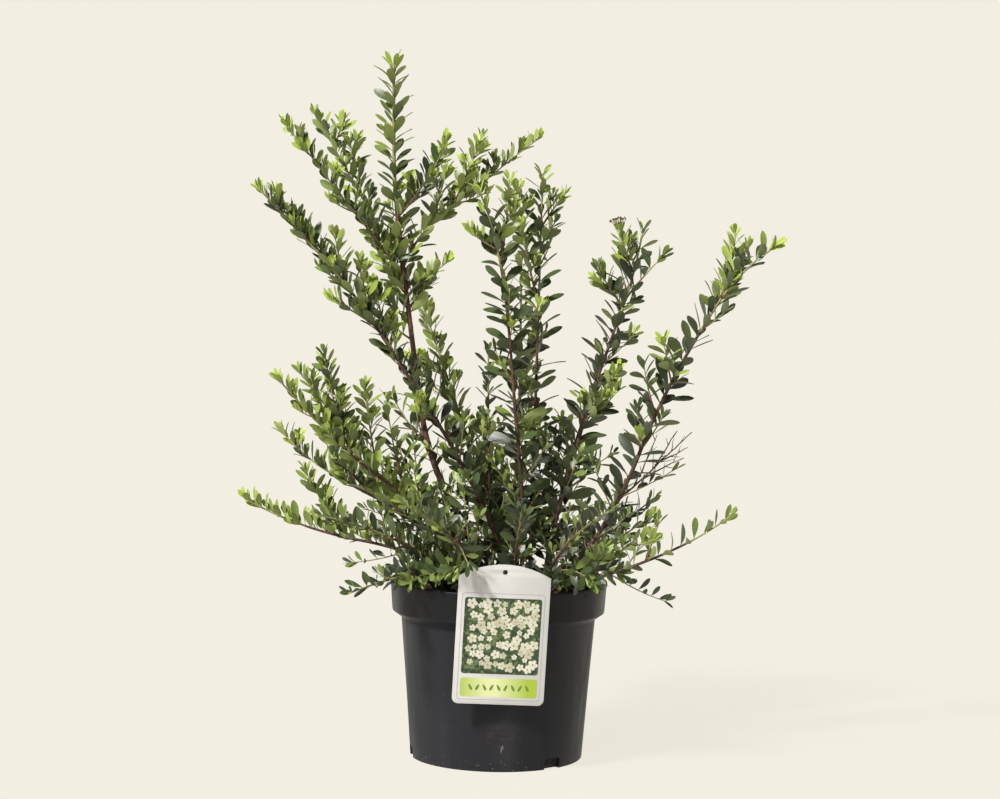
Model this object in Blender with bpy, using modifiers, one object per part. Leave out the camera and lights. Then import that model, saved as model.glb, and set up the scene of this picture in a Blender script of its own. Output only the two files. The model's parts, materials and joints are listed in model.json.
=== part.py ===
"""Potted spirea: a young nursery shrub of many canes in its round pot, as separate closed solids.

Units are metres and degrees, +Z is up, and the origin is the middle of the pot's flat underside.
The plant is seen from -Y with +X to the right. A heading turns from +X towards +Y, and a lean is
measured from upright, so a lean over 90 hangs down.
"""
import math
import random
from collections import namedtuple

import bmesh
import bpy
from mathutils import Matrix, Quaternion, Vector
from mathutils.bvhtree import BVHTree

# The pot, a thin moulded nursery pot of about three litres
POT_HEIGHT = 0.155
RIM_RADIUS = 0.095
BAND_FOOT_RADIUS = 0.093
BAND_HEIGHT = 0.0265
BAND_CHAMFER = 0.0057
WALL_TOP_RADIUS = 0.0851
BASE_RADIUS = 0.0753
BASE_ROUND = 0.0012
WALL = 0.002
FLOOR = 0.0022
RIM_ROUND = 0.0006
POT_STEPS = 44
SLOT_WIDTH = 0.014
SLOT_HEIGHT = 0.008
SLOT_DEPTH = 0.012
SLOT_HEADINGS = (-50.0, 70.0, 190.0)

# What touches is kept this far apart
GAP = 0.0003

# Potting soil and the short woody stem that the oldest canes rise from
SOIL_TOP = 0.142
STEM_PLACE = (0.003, -0.001)
STEM_FOOT_RADIUS = 0.0125
STEM_TOP_RADIUS = 0.0100
STEM_HEIGHT = 0.014
STEM_STEPS = 14

# The picture label, a plastic card hooked over the pot's rim
LABEL_TURN = 6.0
CARD_WIDTH = 0.0775
CARD_SIDE_HEIGHT = 0.1092
CARD_ARCH = 0.0105
CARD_THICK = 0.0008
CARD_CORNER = 0.005
CARD_HOLE_RADIUS = 0.0022
CARD_HOLE_DROP = 0.0065
CARD_OFF = -0.005
CARD_TOP = 0.1805
CARD_ROLL = 2.0
CARD_PITCH = 4.0
HOOK_WIDTH = 0.014
HOOK_REACH = 0.0095
HOOK_PLAY = 0.0018
HOOK_SUNK = 0.0003

# Canes and twigs
CANE_STEP = 0.024
CANE_TAPER = 0.62
FLAT_CUT = 0.003
GROWTH_STEPS = 64
LINE_STEP = 0.006
TWIG_STEP = 0.030
TWIG_TIP_RADIUS = 0.0009
SIDE_TWIG_RADIUS = 0.0012
SHOOT_RADIUS = 0.0014
BRANCH_RADIUS = 0.0015
BRANCH_PLAY = 0.0002
TWIG_SPREAD = 1.2
TIP_SET_BACK = 0.010

# Leaves, fewer and larger than life
LEAF_WIDTH = 0.46
LEAF_THICK = 0.042
LEAF_WIDEST = 0.62
LEAF_FOLD = 0.05
LEAF_SUNK = 0.03
LEAF_LOW = 0.034
LEAF_TIP = 0.020
LEAF_TIP_LAST = 0.014
LEAF_SHRINK_POWER = 1.6
LEAF_SIZES = (0.92, 1.06)
LEAF_SPACING = 0.0128
LEAF_CLOSER = 0.22
LEAF_TURN = 137.5
LEAF_SPLAY_LOW = 56.0
LEAF_SPLAY_TIP = 30.0
LEAF_SPLAY_VARIES = 6.0
LEAF_LIFT = 0.30
LEAF_FACE_UP = 0.5
LEAF_ROLL = 34.0
LEAF_REACH = 0.8

# Side twigs by the seeded rule
SIDE_EVERY = 0.064
SIDE_EVERY_VARIES = (0.8, 1.2)
SIDE_LENGTHS = (0.020, 0.044)
SIDE_ANGLE = 42.0
SIDE_LIFT = 0.2
SIDE_STRAIGHTENS = 0.75
SIDE_FROM = 0.35
SIDE_OFF_START = 0.020
SIDE_OFF_TIP = 0.045
CLEAR = 0.0005
SEED = 20

# A cane starts at foot (x, y), heads one way and bends evenly through its leans. It is bare for a
# while, and the rest of it carries leaves.
Cane = namedtuple("Cane", "name foot heading leans length bare radius")
CANES = (
    Cane("tall_left", (-0.002, 0.003), 170, (37, 30, 9, 8, 8, 1, 1), 0.470, 0.302, 0.0032),
    Cane("arching_left", (0.009, -0.006), 195, (18, 28, 34, 34, 44, 44), 0.408, 0.100, 0.0021),
    Cane("middle", (0.020, 0.000), 215, (0, 1, 8, 6, 8, 15, 30), 0.360, 0.100, 0.0020),
    Cane("middle_back", (0.027, 0.014), 84, (8, 10, 9, 6), 0.376, 0.125, 0.0019),
    Cane("upright_right", (0.038, 0.004), 30, (9, 17, 19, 23, 9), 0.338, 0.118, 0.0021),
    Cane("far_right", (0.044, -0.009), -12, (45, 31, 20, 27, 32, 58), 0.368, 0.112, 0.0022),
    Cane("left", (-0.003, -0.018), 201, (42, 43, 55, 46, 42), 0.278, 0.100, 0.0019),
    Cane("low_left", (-0.011, 0.015), 163, (38, 54, 68, 62, 40), 0.245, 0.072, 0.0019),
    Cane("lowest_left", (-0.022, -0.003), 185, (46, 70, 80, 70, 60), 0.222, 0.084, 0.0018),
    Cane("low_right", (0.054, -0.023), -15, (60, 70, 62, 50), 0.172, 0.056, 0.0017),
    Cane("back", (0.016, 0.028), 90, (10, 20, 28, 30), 0.320, 0.105, 0.0020),
    Cane("back_left", (-0.006, 0.033), 118, (14, 28, 40, 38), 0.300, 0.100, 0.0019),
    Cane("back_right", (0.040, 0.030), 60, (14, 28, 38, 34), 0.290, 0.100, 0.0019),
    Cane("back_low", (0.005, 0.045), 96, (34, 56, 66), 0.215, 0.070, 0.0018),
    Cane("back_low_left", (-0.028, 0.024), 147, (40, 60, 62), 0.180, 0.060, 0.0017),
    Cane("back_low_right", (0.055, 0.027), 38, (42, 60, 62), 0.140, 0.0, 0.0016),
    Cane("inner", (-0.004, 0.019), 105, (18, 12, 5, 3), 0.218, 0.0, 0.0016),
    Cane("short_right", (0.060, 0.006), 22, (42, 52, 66), 0.110, 0.0, 0.0016),
    Cane("rim_left", (-0.034, -0.026), 226, (54, 80, 98, 102), 0.140, 0.0, 0.0016),
    Cane("rim_right", (0.050, -0.036), -42, (42, 64, 78), 0.130, 0.0, 0.0016),
    Cane("front", (0.013, -0.032), -88, (32, 60, 72), 0.158, 0.0, 0.0016),
    Cane("front_left", (-0.013, -0.034), -118, (34, 60, 76), 0.172, 0.0, 0.0016),
    Cane("front_right", (0.034, -0.034), -62, (32, 58, 72), 0.158, 0.0, 0.0016),
    Cane("front_low_left", (-0.030, -0.015), 207, (42, 66, 78), 0.165, 0.0, 0.0016),
)

# A shoot branches from a cane at a distance from its foot. One that leaves the bare length is a
# mass of its own, named as given, and one further up is fused to that cane's leaves.
Shoot = namedtuple("Shoot", "name cane at heading leans length")
SHOOTS = (
    Shoot("tall_left_low", "tall_left", 0.260, -20, (44, 52, 56), 0.056),
    Shoot("tall_left_outer", "tall_left", 0.276, 195, (34, 42, 38, 42), 0.176),
    Shoot("tall_left_right", "tall_left", 0.286, 20, (20, 47, 53, 51, 56), 0.178),
    Shoot("tall_left_inner", "tall_left", 0.290, 150, (40, 34, 36), 0.168),
    Shoot("", "tall_left", 0.330, -45, (54, 46, 40, 18), 0.096),
    Shoot("", "tall_left_right", 0.072, 10, (24, 22, 20), 0.070),
    Shoot("", "arching_left", 0.250, 190, (56, 66), 0.052),
    Shoot("", "middle", 0.288, 10, (10, 0), 0.078),
    Shoot("", "middle", 0.300, 190, (62, 52), 0.034),
    Shoot("", "middle_back", 0.304, 20, (25, 38), 0.034),
    Shoot("", "middle_back", 0.322, 10, (30, 42), 0.042),
    Shoot("", "upright_right", 0.150, -30, (40, 26), 0.066),
    Shoot("", "upright_right", 0.262, 190, (40, 28), 0.048),
    Shoot("", "upright_right", 0.270, -10, (36, 46), 0.056),
    Shoot("", "upright_right", 0.294, 190, (26, 12), 0.056),
    Shoot("", "far_right", 0.284, 40, (40, 0), 0.080),
    Shoot("", "far_right", 0.294, 10, (27, 26), 0.062),
    Shoot("", "left", 0.168, 160, (26, 22), 0.080),
    Shoot("", "low_left", 0.130, 205, (50, 44, 34), 0.082),
    Shoot("", "back", 0.180, 70, (48, 36), 0.080),
    Shoot("", "back_left", 0.170, 165, (50, 40), 0.070),
    Shoot("", "back_right", 0.150, 20, (50, 40), 0.060),
)

# Bare dry twigs that stand beside the far right cane
DRY_TWIGS = "dry_twigs"
DRY_CANE = "far_right"
DRY_AT = 0.104
DRY_HEADING = 12.0
DRY_LEANS = (50, 46, 48)
DRY_LENGTH = 0.086
DRY_RADIUS = 0.0013
DRY_PLAY = -0.0004
DRY_FAN = (
    # distance along the stem, heading, leans, length
    (0.016, 40.0, (34, 30), 0.052),
    (0.026, -40.0, (62, 66), 0.050),
    (0.040, 30.0, (38, 34), 0.040),
    (0.050, -30.0, (66, 60), 0.028),
)

# The one dried flower head, a flat lump at the tip of a shoot named by its cane and distance
HEAD_SHOOT = ("upright_right", 0.294)
HEAD_RADIUS = 0.0075
HEAD_THICK = 0.0055
HEAD_SEGMENTS = 6
HEAD_RINGS = 4

# Base colours, roughness
BLACK_PLASTIC = ((0.020, 0.020, 0.023), 0.42)
SOIL_BROWN = ((0.060, 0.038, 0.024), 0.95)
CARD_WHITE = ((0.80, 0.80, 0.80), 0.35)
BARK_BROWN = ((0.085, 0.045, 0.033), 0.75)
LEAF_GREEN = ((0.065, 0.110, 0.035), 0.55)
DRY_BROWN = ((0.300, 0.220, 0.140), 0.85)

COLLECTION = "potted_spirea"
UP = Vector((0.0, 0.0, 1.0))


def material(name, finish):
    """A Principled material of one colour and roughness."""
    colour, roughness = finish
    made = bpy.data.materials.new(name)
    made.use_nodes = True
    shader = made.node_tree.nodes["Principled BSDF"]
    shader.inputs["Base Color"].default_value = (*colour, 1.0)
    shader.inputs["Roughness"].default_value = roughness
    made.diffuse_color = (*colour, 1.0)
    return made


def collection(name):
    made = bpy.data.collections.new(name)
    bpy.context.scene.collection.children.link(made)
    return made


def add_object(name, data, home, place=(0.0, 0.0, 0.0)):
    made = bpy.data.objects.new(name, data)
    made.location = place
    home.objects.link(made)
    return made


def evaluated_mesh(source):
    """The mesh that an object shows with its modifiers, or that a curve gives."""
    bpy.context.view_layer.update()
    graph = bpy.context.evaluated_depsgraph_get()
    return bpy.data.meshes.new_from_object(source.evaluated_get(graph))


def meshed(source, home):
    """A mesh object in place of a curve, with its loose caps welded on."""
    mesh = evaluated_mesh(source)
    shape = bmesh.new()
    shape.from_mesh(mesh)
    bmesh.ops.remove_doubles(shape, verts=shape.verts, dist=1e-6)
    bmesh.ops.recalc_face_normals(shape, faces=shape.faces)
    shape.to_mesh(mesh)
    shape.free()
    made = bpy.data.objects.new(source.name, mesh)
    made.matrix_world = source.matrix_world.copy()
    name = source.name
    bpy.data.objects.remove(source)
    made.name = name
    home.objects.link(made)
    bpy.context.view_layer.update()
    return made


def boolean(target, operation, cutter=None, pieces=None):
    """Cut or join an object for good, by one other object or by a whole collection."""
    step = target.modifiers.new("Shape", "BOOLEAN")
    step.operation = operation
    if pieces is None:
        step.object = cutter
    else:
        step.operand_type = "COLLECTION"
        step.collection = pieces
    mesh = evaluated_mesh(target)
    target.modifiers.clear()
    target.data = mesh


def turned(name, profile, steps, home, place=(0.0, 0.0, 0.0)):
    """A turned solid from a profile of (radius, height) points that ends down its outer side."""
    mesh = bpy.data.meshes.new(name)
    edges = [(i, i + 1) for i in range(len(profile) - 1)]
    mesh.from_pydata([(radius, 0.0, height) for radius, height in profile], edges, [])
    made = add_object(name, mesh, home, place)
    screw = made.modifiers.new("Turn", "SCREW")
    screw.steps = steps
    screw.render_steps = steps
    screw.use_merge_vertices = True
    screw.merge_threshold = 0.0001
    return made


def round_shading(target, angle):
    target.data.shade_smooth()
    target.data.set_sharp_from_angle(angle=math.radians(angle))


def spread(values, share):
    """The value at a share from 0 to 1 of a list of evenly spaced values."""
    place = share * (len(values) - 1)
    index = min(int(place), len(values) - 2)
    return values[index] + (values[index + 1] - values[index]) * (place - index)


def direction(heading, lean):
    """The unit vector of a heading and a lean in degrees."""
    turn, tip = math.radians(heading), math.radians(lean)
    return Vector((math.sin(tip) * math.cos(turn), math.sin(tip) * math.sin(turn), math.cos(tip)))


class Growth:
    """The line along which a cane or a shoot has grown."""

    def __init__(self, start, heading, leans, length):
        self.start = Vector(start)
        self.heading = heading
        self.leans = leans
        self.length = length
        self.points = [self.start]
        for index in range(GROWTH_STEPS):
            way = direction(heading, spread(leans, (index + 0.5) / GROWTH_STEPS))
            self.points.append(self.points[-1] + way * (length / GROWTH_STEPS))

    def at(self, distance):
        """The point at a distance from the start."""
        place = min(max(distance / self.length, 0.0), 1.0) * GROWTH_STEPS
        index = min(int(place), GROWTH_STEPS - 1)
        return self.points[index].lerp(self.points[index + 1], place - index)

    def way(self, distance):
        """The direction of growth at a distance from the start."""
        return direction(self.heading, spread(self.leans, min(max(distance / self.length, 0.0), 1.0)))

    def across(self):
        """The level direction square to the line."""
        return direction(self.heading + 90.0, 90.0)


def tube(name, points, radii, home, bevel=None):
    """A tapering mesh tube with caps: round, or with the outline of a bevel curve."""
    curve = bpy.data.curves.new(name, "CURVE")
    curve.dimensions = "3D"
    curve.use_fill_caps = True
    if bevel is None:
        curve.bevel_depth = 1.0
        curve.bevel_resolution = 1
    else:
        curve.bevel_mode = "OBJECT"
        curve.bevel_object = bevel
    line = curve.splines.new("POLY")
    line.points.add(len(points) - 1)
    for control, point, radius in zip(line.points, points, radii):
        control.co = (*(point - points[0]), 1.0)
        control.radius = radius
    return meshed(add_object(name, curve, home, points[0]), home)


def three_sided(home):
    """The outline of a twig, a triangle inside a circle of radius one."""
    curve = bpy.data.curves.new("twig_outline", "CURVE")
    line = curve.splines.new("POLY")
    line.points.add(2)
    line.use_cyclic_u = True
    for index, control in enumerate(line.points):
        angle = math.radians(90.0 - 120.0 * index)
        control.co = (math.cos(angle), math.sin(angle), 0.0, 1.0)
    return add_object("twig_outline", curve, home)


def stretch(start, end, step):
    """Even distances from start to end, no further apart than about a step."""
    count = max(1, round((end - start) / step))
    return [start + (end - start) * index / count for index in range(count + 1)]


def make_pot(home, cutters):
    """The pot: a rolled band, a chamfer under it, a tapering wall and a floor with drain slots."""
    band_foot = POT_HEIGHT - BAND_HEIGHT
    wall_top = band_foot - BAND_CHAMFER
    profile = [
        (0.0, FLOOR),
        (BASE_RADIUS - WALL, FLOOR),
        (WALL_TOP_RADIUS - WALL, wall_top),
        (BAND_FOOT_RADIUS - WALL, band_foot),
        (RIM_RADIUS - WALL, POT_HEIGHT - RIM_ROUND),
        (RIM_RADIUS - WALL + RIM_ROUND, POT_HEIGHT),
        (RIM_RADIUS - RIM_ROUND, POT_HEIGHT),
        (RIM_RADIUS, POT_HEIGHT - RIM_ROUND),
        (BAND_FOOT_RADIUS, band_foot),
        (WALL_TOP_RADIUS, wall_top),
        (BASE_RADIUS, BASE_ROUND),
        (BASE_RADIUS - BASE_ROUND, 0.0),
        (0.0, 0.0),
    ]
    pot = turned("pot", profile, POT_STEPS, home)
    for index, heading in enumerate(SLOT_HEADINGS):
        shape = bmesh.new()
        bmesh.ops.create_cube(shape, size=1.0)
        size = Matrix.Diagonal((SLOT_DEPTH, SLOT_WIDTH, 2.0 * SLOT_HEIGHT, 1.0))
        bmesh.ops.transform(shape, matrix=size, verts=shape.verts)
        mesh = bpy.data.meshes.new(f"slot_cutter_{index + 1}")
        shape.to_mesh(mesh)
        shape.free()
        middle = direction(heading, 90.0) * BASE_RADIUS
        cutter = add_object(mesh.name, mesh, cutters, middle)
        cutter.rotation_euler.z = math.radians(heading)
        cutter.hide_render = True
        cutter.display_type = "WIRE"
        cut = pot.modifiers.new(f"Slot {index + 1}", "BOOLEAN")
        cut.operation = "DIFFERENCE"
        cut.object = cutter
    pot.data.materials.append(material("black plastic", BLACK_PLASTIC))
    return pot


def make_soil(home):
    """The soil that fills the pot to a little under its rim."""
    band_foot = POT_HEIGHT - BAND_HEIGHT
    wall_top = band_foot - BAND_CHAMFER
    band_inside = BAND_FOOT_RADIUS - WALL - 2.0 * GAP
    profile = [
        (0.0, SOIL_TOP),
        (band_inside, SOIL_TOP),
        (band_inside, band_foot),
        (WALL_TOP_RADIUS - WALL - 1.2 * GAP, wall_top + GAP),
        (BASE_RADIUS - WALL - 1.2 * GAP, FLOOR + GAP),
        (0.0, FLOOR + GAP),
    ]
    soil = turned("potting_soil", profile, POT_STEPS, home)
    soil.data.materials.append(material("potting soil", SOIL_BROWN))
    return soil


def make_stem(home):
    """The short stem inside the shrub's foot: flared, and cut flat at the soil."""
    profile = [
        (0.0, STEM_HEIGHT),
        (0.9 * STEM_TOP_RADIUS, STEM_HEIGHT),
        (STEM_TOP_RADIUS, 0.88 * STEM_HEIGHT),
        (STEM_TOP_RADIUS, 0.45 * STEM_HEIGHT),
        (STEM_FOOT_RADIUS, 0.0),
        (0.0, 0.0),
    ]
    stem = turned("short_stem", profile, STEM_STEPS, home, (*STEM_PLACE, SOIL_TOP + GAP))
    stem.data.materials.append(material("stem bark", BARK_BROWN))
    return stem


def card_outline(curve):
    """The card's outline: rounded foot corners, straight sides and an arched head."""
    half = CARD_WIDTH / 2.0
    foot = -CARD_SIDE_HEIGHT
    places = []
    for middle, start in ((-half + CARD_CORNER, 180.0), (half - CARD_CORNER, 270.0)):
        for step in range(4):
            angle = math.radians(start + 30.0 * step)
            places.append((middle + CARD_CORNER * math.cos(angle),
                           foot + CARD_CORNER + CARD_CORNER * math.sin(angle)))
    for step in range(13):
        share = 1.0 - step / 6.0
        places.append((half * share, CARD_ARCH * (1.0 - share * share)))
    line = curve.splines.new("POLY")
    line.points.add(len(places) - 1)
    line.use_cyclic_u = True
    for control, (x, y) in zip(line.points, places):
        control.co = (x, y, 0.0, 1.0)


def make_label(home, cutters):
    """The picture label: a bare white card and the tongue that hooks it over the rim."""
    curve = bpy.data.curves.new("plant_label", "CURVE")
    curve.dimensions = "2D"
    curve.fill_mode = "BOTH"
    curve.extrude = CARD_THICK / 2.0
    card_outline(curve)
    hole = curve.splines.new("POLY")
    hole.points.add(11)
    hole.use_cyclic_u = True
    for index, control in enumerate(hole.points):
        angle = math.radians(-30.0 * index)
        control.co = (CARD_HOLE_RADIUS * math.cos(angle),
                      CARD_ARCH - CARD_HOLE_DROP + CARD_HOLE_RADIUS * math.sin(angle), 0.0, 1.0)
    rim_front = -RIM_RADIUS - GAP - CARD_THICK / 2.0
    card = add_object("plant_label", curve, home)
    shoulder = CARD_TOP - CARD_ARCH
    pitch = Matrix.Rotation(math.radians(90.0 + CARD_PITCH), 4, "X")
    roll = Matrix.Rotation(math.radians(CARD_ROLL), 4, "Y")
    lean_back = (shoulder - POT_HEIGHT) * math.tan(math.radians(CARD_PITCH))
    place = Matrix.Translation((CARD_OFF, rim_front - lean_back, shoulder))
    turn = Matrix.Rotation(math.radians(LABEL_TURN), 4, "Z")
    card.matrix_world = turn @ place @ roll @ pitch
    bpy.context.view_layer.update()
    card = meshed(card, home)

    tongue = bpy.data.curves.new("label_tongue", "CURVE")
    tongue.dimensions = "2D"
    tongue.fill_mode = "BOTH"
    tongue.extrude = HOOK_WIDTH / 2.0
    inside = -RIM_RADIUS + WALL + HOOK_PLAY
    under = POT_HEIGHT + GAP
    corners = [
        (rim_front - HOOK_SUNK, under),
        (inside, under),
        (inside, under - HOOK_REACH),
        (inside + CARD_THICK, under - HOOK_REACH),
        (inside + CARD_THICK, under + CARD_THICK),
        (rim_front - HOOK_SUNK, under + CARD_THICK),
    ]
    line = tongue.splines.new("POLY")
    line.points.add(len(corners) - 1)
    line.use_cyclic_u = True
    for control, (y, z) in zip(line.points, corners):
        control.co = (y, z, 0.0, 1.0)
    hook = add_object("label_tongue", tongue, cutters)
    upright = Matrix(((0.0, 0.0, 1.0, 0.0), (1.0, 0.0, 0.0, 0.0), (0.0, 1.0, 0.0, 0.0),
                      (0.0, 0.0, 0.0, 1.0)))
    hook.matrix_world = turn @ upright
    bpy.context.view_layer.update()
    hook = meshed(hook, cutters)
    boolean(card, "UNION", cutter=hook)
    bpy.data.objects.remove(hook)
    card.data.materials.append(material("white card", CARD_WHITE))
    return card


def leaf_mesh():
    """One leaf a metre long from its sunk root: eight faces, widest past the middle, and folded."""
    shape = bmesh.new()
    bmesh.ops.create_uvsphere(shape, u_segments=4, v_segments=2, radius=1.0)
    for vertex in shape.verts:
        x, y, z = vertex.co
        on_rim = abs(z) < 0.5
        length = LEAF_WIDEST if on_rim else float(z > 0.0)
        fold = LEAF_FOLD if abs(x) > 0.5 else 0.0
        vertex.co = (x * LEAF_WIDTH / 2.0, fold + y * LEAF_THICK / 2.0, length - LEAF_SUNK)
    mesh = bpy.data.meshes.new("leaf")
    shape.to_mesh(mesh)
    shape.free()
    return mesh


class Crown:
    """Every solid of the crown so far, so that a new piece can be kept clear of the others."""

    def __init__(self):
        self.pieces = []
        self.lines = []

    @staticmethod
    def shell(mesh, matrix, swell=0.0):
        """A mesh's surface in the world, swollen by a distance, with its box."""
        places = [matrix @ vertex.co for vertex in mesh.vertices]
        if swell:
            turn = matrix.to_3x3().inverted().transposed()
            places = [place + (turn @ vertex.normal).normalized() * swell
                      for place, vertex in zip(places, mesh.vertices)]
        tree = BVHTree.FromPolygons(places, [tuple(face.vertices) for face in mesh.polygons])
        low = [min(place[axis] for place in places) for axis in range(3)]
        high = [max(place[axis] for place in places) for axis in range(3)]
        return tree, low, high

    def add(self, owner, mesh, matrix):
        self.pieces.append((owner, *self.shell(mesh, matrix)))

    def add_line(self, owner, points):
        self.lines.append((owner, points))

    def free(self, owners, mesh, matrix):
        """Whether a new piece stays clear of all that its owners don't name."""
        tree, low, high = self.shell(mesh, matrix, CLEAR)
        for owner, other, other_low, other_high in self.pieces:
            if owner in owners:
                continue
            apart = any(low[axis] > other_high[axis] or high[axis] < other_low[axis]
                        for axis in range(3))
            if not apart and tree.overlap(other):
                return False
        return True

    def own_space(self, owner, place):
        """Whether a place lies nearer to its owner's stems than to any other mass's."""
        near = {}
        for name, points in self.lines:
            gap = min((point - place).length_squared for point in points)
            near[name] = min(gap, near.get(name, gap))
        return min(near, key=near.get) == owner


def cane_radius(cane, distance):
    return cane.radius * (1.0 - CANE_TAPER * distance / cane.length)


def make_canes(home, crown, paint):
    """The bare length of each cane: one tapering limb with a flat cut at its foot."""
    growths = {}
    for cane in CANES:
        foot = Vector((*cane.foot, SOIL_TOP + GAP))
        if (foot.xy - Vector(STEM_PLACE)).length < STEM_TOP_RADIUS:
            foot.z = SOIL_TOP + STEM_HEIGHT + 2.0 * GAP
        growth = Growth(foot + UP * FLAT_CUT, cane.heading, cane.leans, cane.length)
        growths[cane.name] = growth
        if cane.bare == 0.0:
            continue
        distances = stretch(0.0, cane.bare, CANE_STEP)
        points = [foot] + [growth.at(distance) for distance in distances]
        radii = [cane.radius] + [cane_radius(cane, distance) for distance in distances]
        limb = tube(f"cane_{cane.name}", points, radii, home)
        round_shading(limb, 50.0)
        limb.data.materials.append(paint)
        crown.add(limb.name, limb.data, limb.matrix_world)
    return growths


class Mass:
    """One mass of leaves: a stem, its side twigs and their leaves, joined into one solid."""

    def __init__(self, name, growth, start, radius, parts, foot=None):
        self.name = name
        self.growth = growth
        self.start = start
        self.radius = radius
        self.stems = [(growth, start, name)]
        self.home = parts["home"]
        self.joining = parts["joining"]
        self.outline = parts["outline"]
        self.leaf = parts["leaf"]
        self.crown = parts["crown"]
        self.chance = random.Random(SEED + sum(map(ord, name)))
        self.objects = []
        self.base = self.make_twig(growth, start, radius, self.home, foot)

    def make_twig(self, growth, start, radius, home, foot=None):
        """A three-sided twig along a growth line, from a start to a little short of its tip."""
        end = growth.length - TIP_SET_BACK
        distances = stretch(start, end, TWIG_STEP)
        points = [growth.at(distance) for distance in distances]
        fall = (TWIG_TIP_RADIUS - radius) / (end - start)
        radii = [TWIG_SPREAD * (radius + fall * (distance - start)) for distance in distances]
        if foot:
            points.insert(0, foot)
            radii.insert(0, radii[0])
        twig = tube(self.name, points, radii, home, self.outline)
        fine = [growth.at(distance) for distance in stretch(start, growth.length, LINE_STEP)]
        self.crown.add_line(self.name, fine)
        return twig

    def add_shoot(self, growth, radius=SIDE_TWIG_RADIUS):
        """A side twig rooted in the middle of its stem, unless it would touch another piece."""
        lines = len(self.crown.lines)
        twig = self.make_twig(growth, 0.0, radius, self.joining)
        if not self.crown.free({self.name}, twig.data, twig.matrix_world):
            bpy.data.objects.remove(twig)
            del self.crown.lines[lines:]
            return
        owner = f"{self.name} twig {len(self.stems)}"
        self.crown.add(owner, twig.data, twig.matrix_world)
        self.objects.append(twig)
        self.stems.append((growth, 0.0, owner))

    def side_twigs(self):
        """Side twigs by the seeded rule, on the upper part of the mass's stem."""
        growth = self.growth
        first = max(self.start + SIDE_OFF_START, growth.length * SIDE_FROM)
        distance = first + self.chance.uniform(0.0, 0.4) * SIDE_EVERY
        turn = self.chance.uniform(0.0, 360.0)
        while distance < growth.length - SIDE_OFF_TIP:
            way = growth.way(distance)
            out = Quaternion(way, math.radians(turn)) @ growth.across()
            angle = math.radians(SIDE_ANGLE)
            aim = (way * math.cos(angle) + out * math.sin(angle) + UP * SIDE_LIFT).normalized()
            heading = math.degrees(math.atan2(aim.y, aim.x))
            lean = math.degrees(math.acos(max(-1.0, min(1.0, aim.z))))
            length = self.chance.uniform(*SIDE_LENGTHS)
            shoot = Growth(growth.at(distance), heading, (lean, SIDE_STRAIGHTENS * lean), length)
            if self.crown.own_space(self.name, shoot.at(length)):
                self.add_shoot(shoot)
            distance += SIDE_EVERY * self.chance.uniform(*SIDE_EVERY_VARIES)
            turn += LEAF_TURN

    def add_leaf(self, place, axis, face, length, twig):
        """One leaf, unless it would leave the mass's space or touch more than its twig."""
        if not self.crown.own_space(self.name, place + axis * LEAF_REACH * length):
            return
        side = face.cross(axis).normalized()
        face = axis.cross(side).normalized()
        turn = Matrix((side, face, axis)).transposed()
        matrix = Matrix.LocRotScale(place, turn.to_quaternion(), Vector((length,) * 3))
        if not self.crown.free({twig}, self.leaf, matrix):
            return
        leaf = add_object("leaf", self.leaf, self.joining)
        leaf.matrix_world = matrix
        self.crown.add(f"{self.name} leaf", self.leaf, matrix)
        self.objects.append(leaf)

    def leaves_along(self, growth, start, twig):
        """Leaves in a spiral along a twig: smaller and closer to it towards the tip."""
        end = growth.length - TIP_SET_BACK
        distance = start + 0.5 * LEAF_SPACING
        turn = self.chance.uniform(0.0, 360.0)
        while distance < end:
            share = distance / growth.length
            if growth is not self.growth:
                share = 0.5 + 0.5 * share
            way = growth.way(distance)
            out = Quaternion(way, math.radians(turn)) @ growth.across()
            splay = LEAF_SPLAY_LOW + (LEAF_SPLAY_TIP - LEAF_SPLAY_LOW) * share
            splay += self.chance.uniform(-LEAF_SPLAY_VARIES, LEAF_SPLAY_VARIES)
            angle = math.radians(splay)
            axis = way * math.cos(angle) + out * math.sin(angle)
            axis = (axis + UP * LEAF_LIFT * (1.0 - way.z)).normalized()
            length = LEAF_LOW + (LEAF_TIP - LEAF_LOW) * share ** LEAF_SHRINK_POWER
            length *= self.chance.uniform(*LEAF_SIZES)
            roll = math.radians(self.chance.uniform(-LEAF_ROLL, LEAF_ROLL))
            face = Quaternion(axis, roll) @ (way + UP * LEAF_FACE_UP)
            self.add_leaf(growth.at(distance), axis, face, length, twig)
            distance += LEAF_SPACING * (1.0 - LEAF_CLOSER * share)
            turn += LEAF_TURN
        way = growth.way(end)
        foot = growth.at(growth.length - LEAF_TIP_LAST)
        self.add_leaf(foot, way, growth.across().cross(way), LEAF_TIP_LAST, twig)

    def add_head(self, growth):
        """The dried flower head round a shoot's tip."""
        shape = bmesh.new()
        bmesh.ops.create_uvsphere(shape, u_segments=HEAD_SEGMENTS, v_segments=HEAD_RINGS, radius=1.0)
        size = Matrix.Diagonal((HEAD_RADIUS, HEAD_RADIUS, HEAD_THICK / 2.0, 1.0))
        bmesh.ops.transform(shape, matrix=size, verts=shape.verts)
        mesh = bpy.data.meshes.new("dried_head")
        shape.to_mesh(mesh)
        shape.free()
        matrix = Matrix.Translation(growth.at(growth.length - TIP_SET_BACK))
        head = add_object(mesh.name, mesh, self.joining)
        head.matrix_world = matrix
        self.crown.add(f"{self.name} head", mesh, matrix)
        self.objects.append(head)

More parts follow.
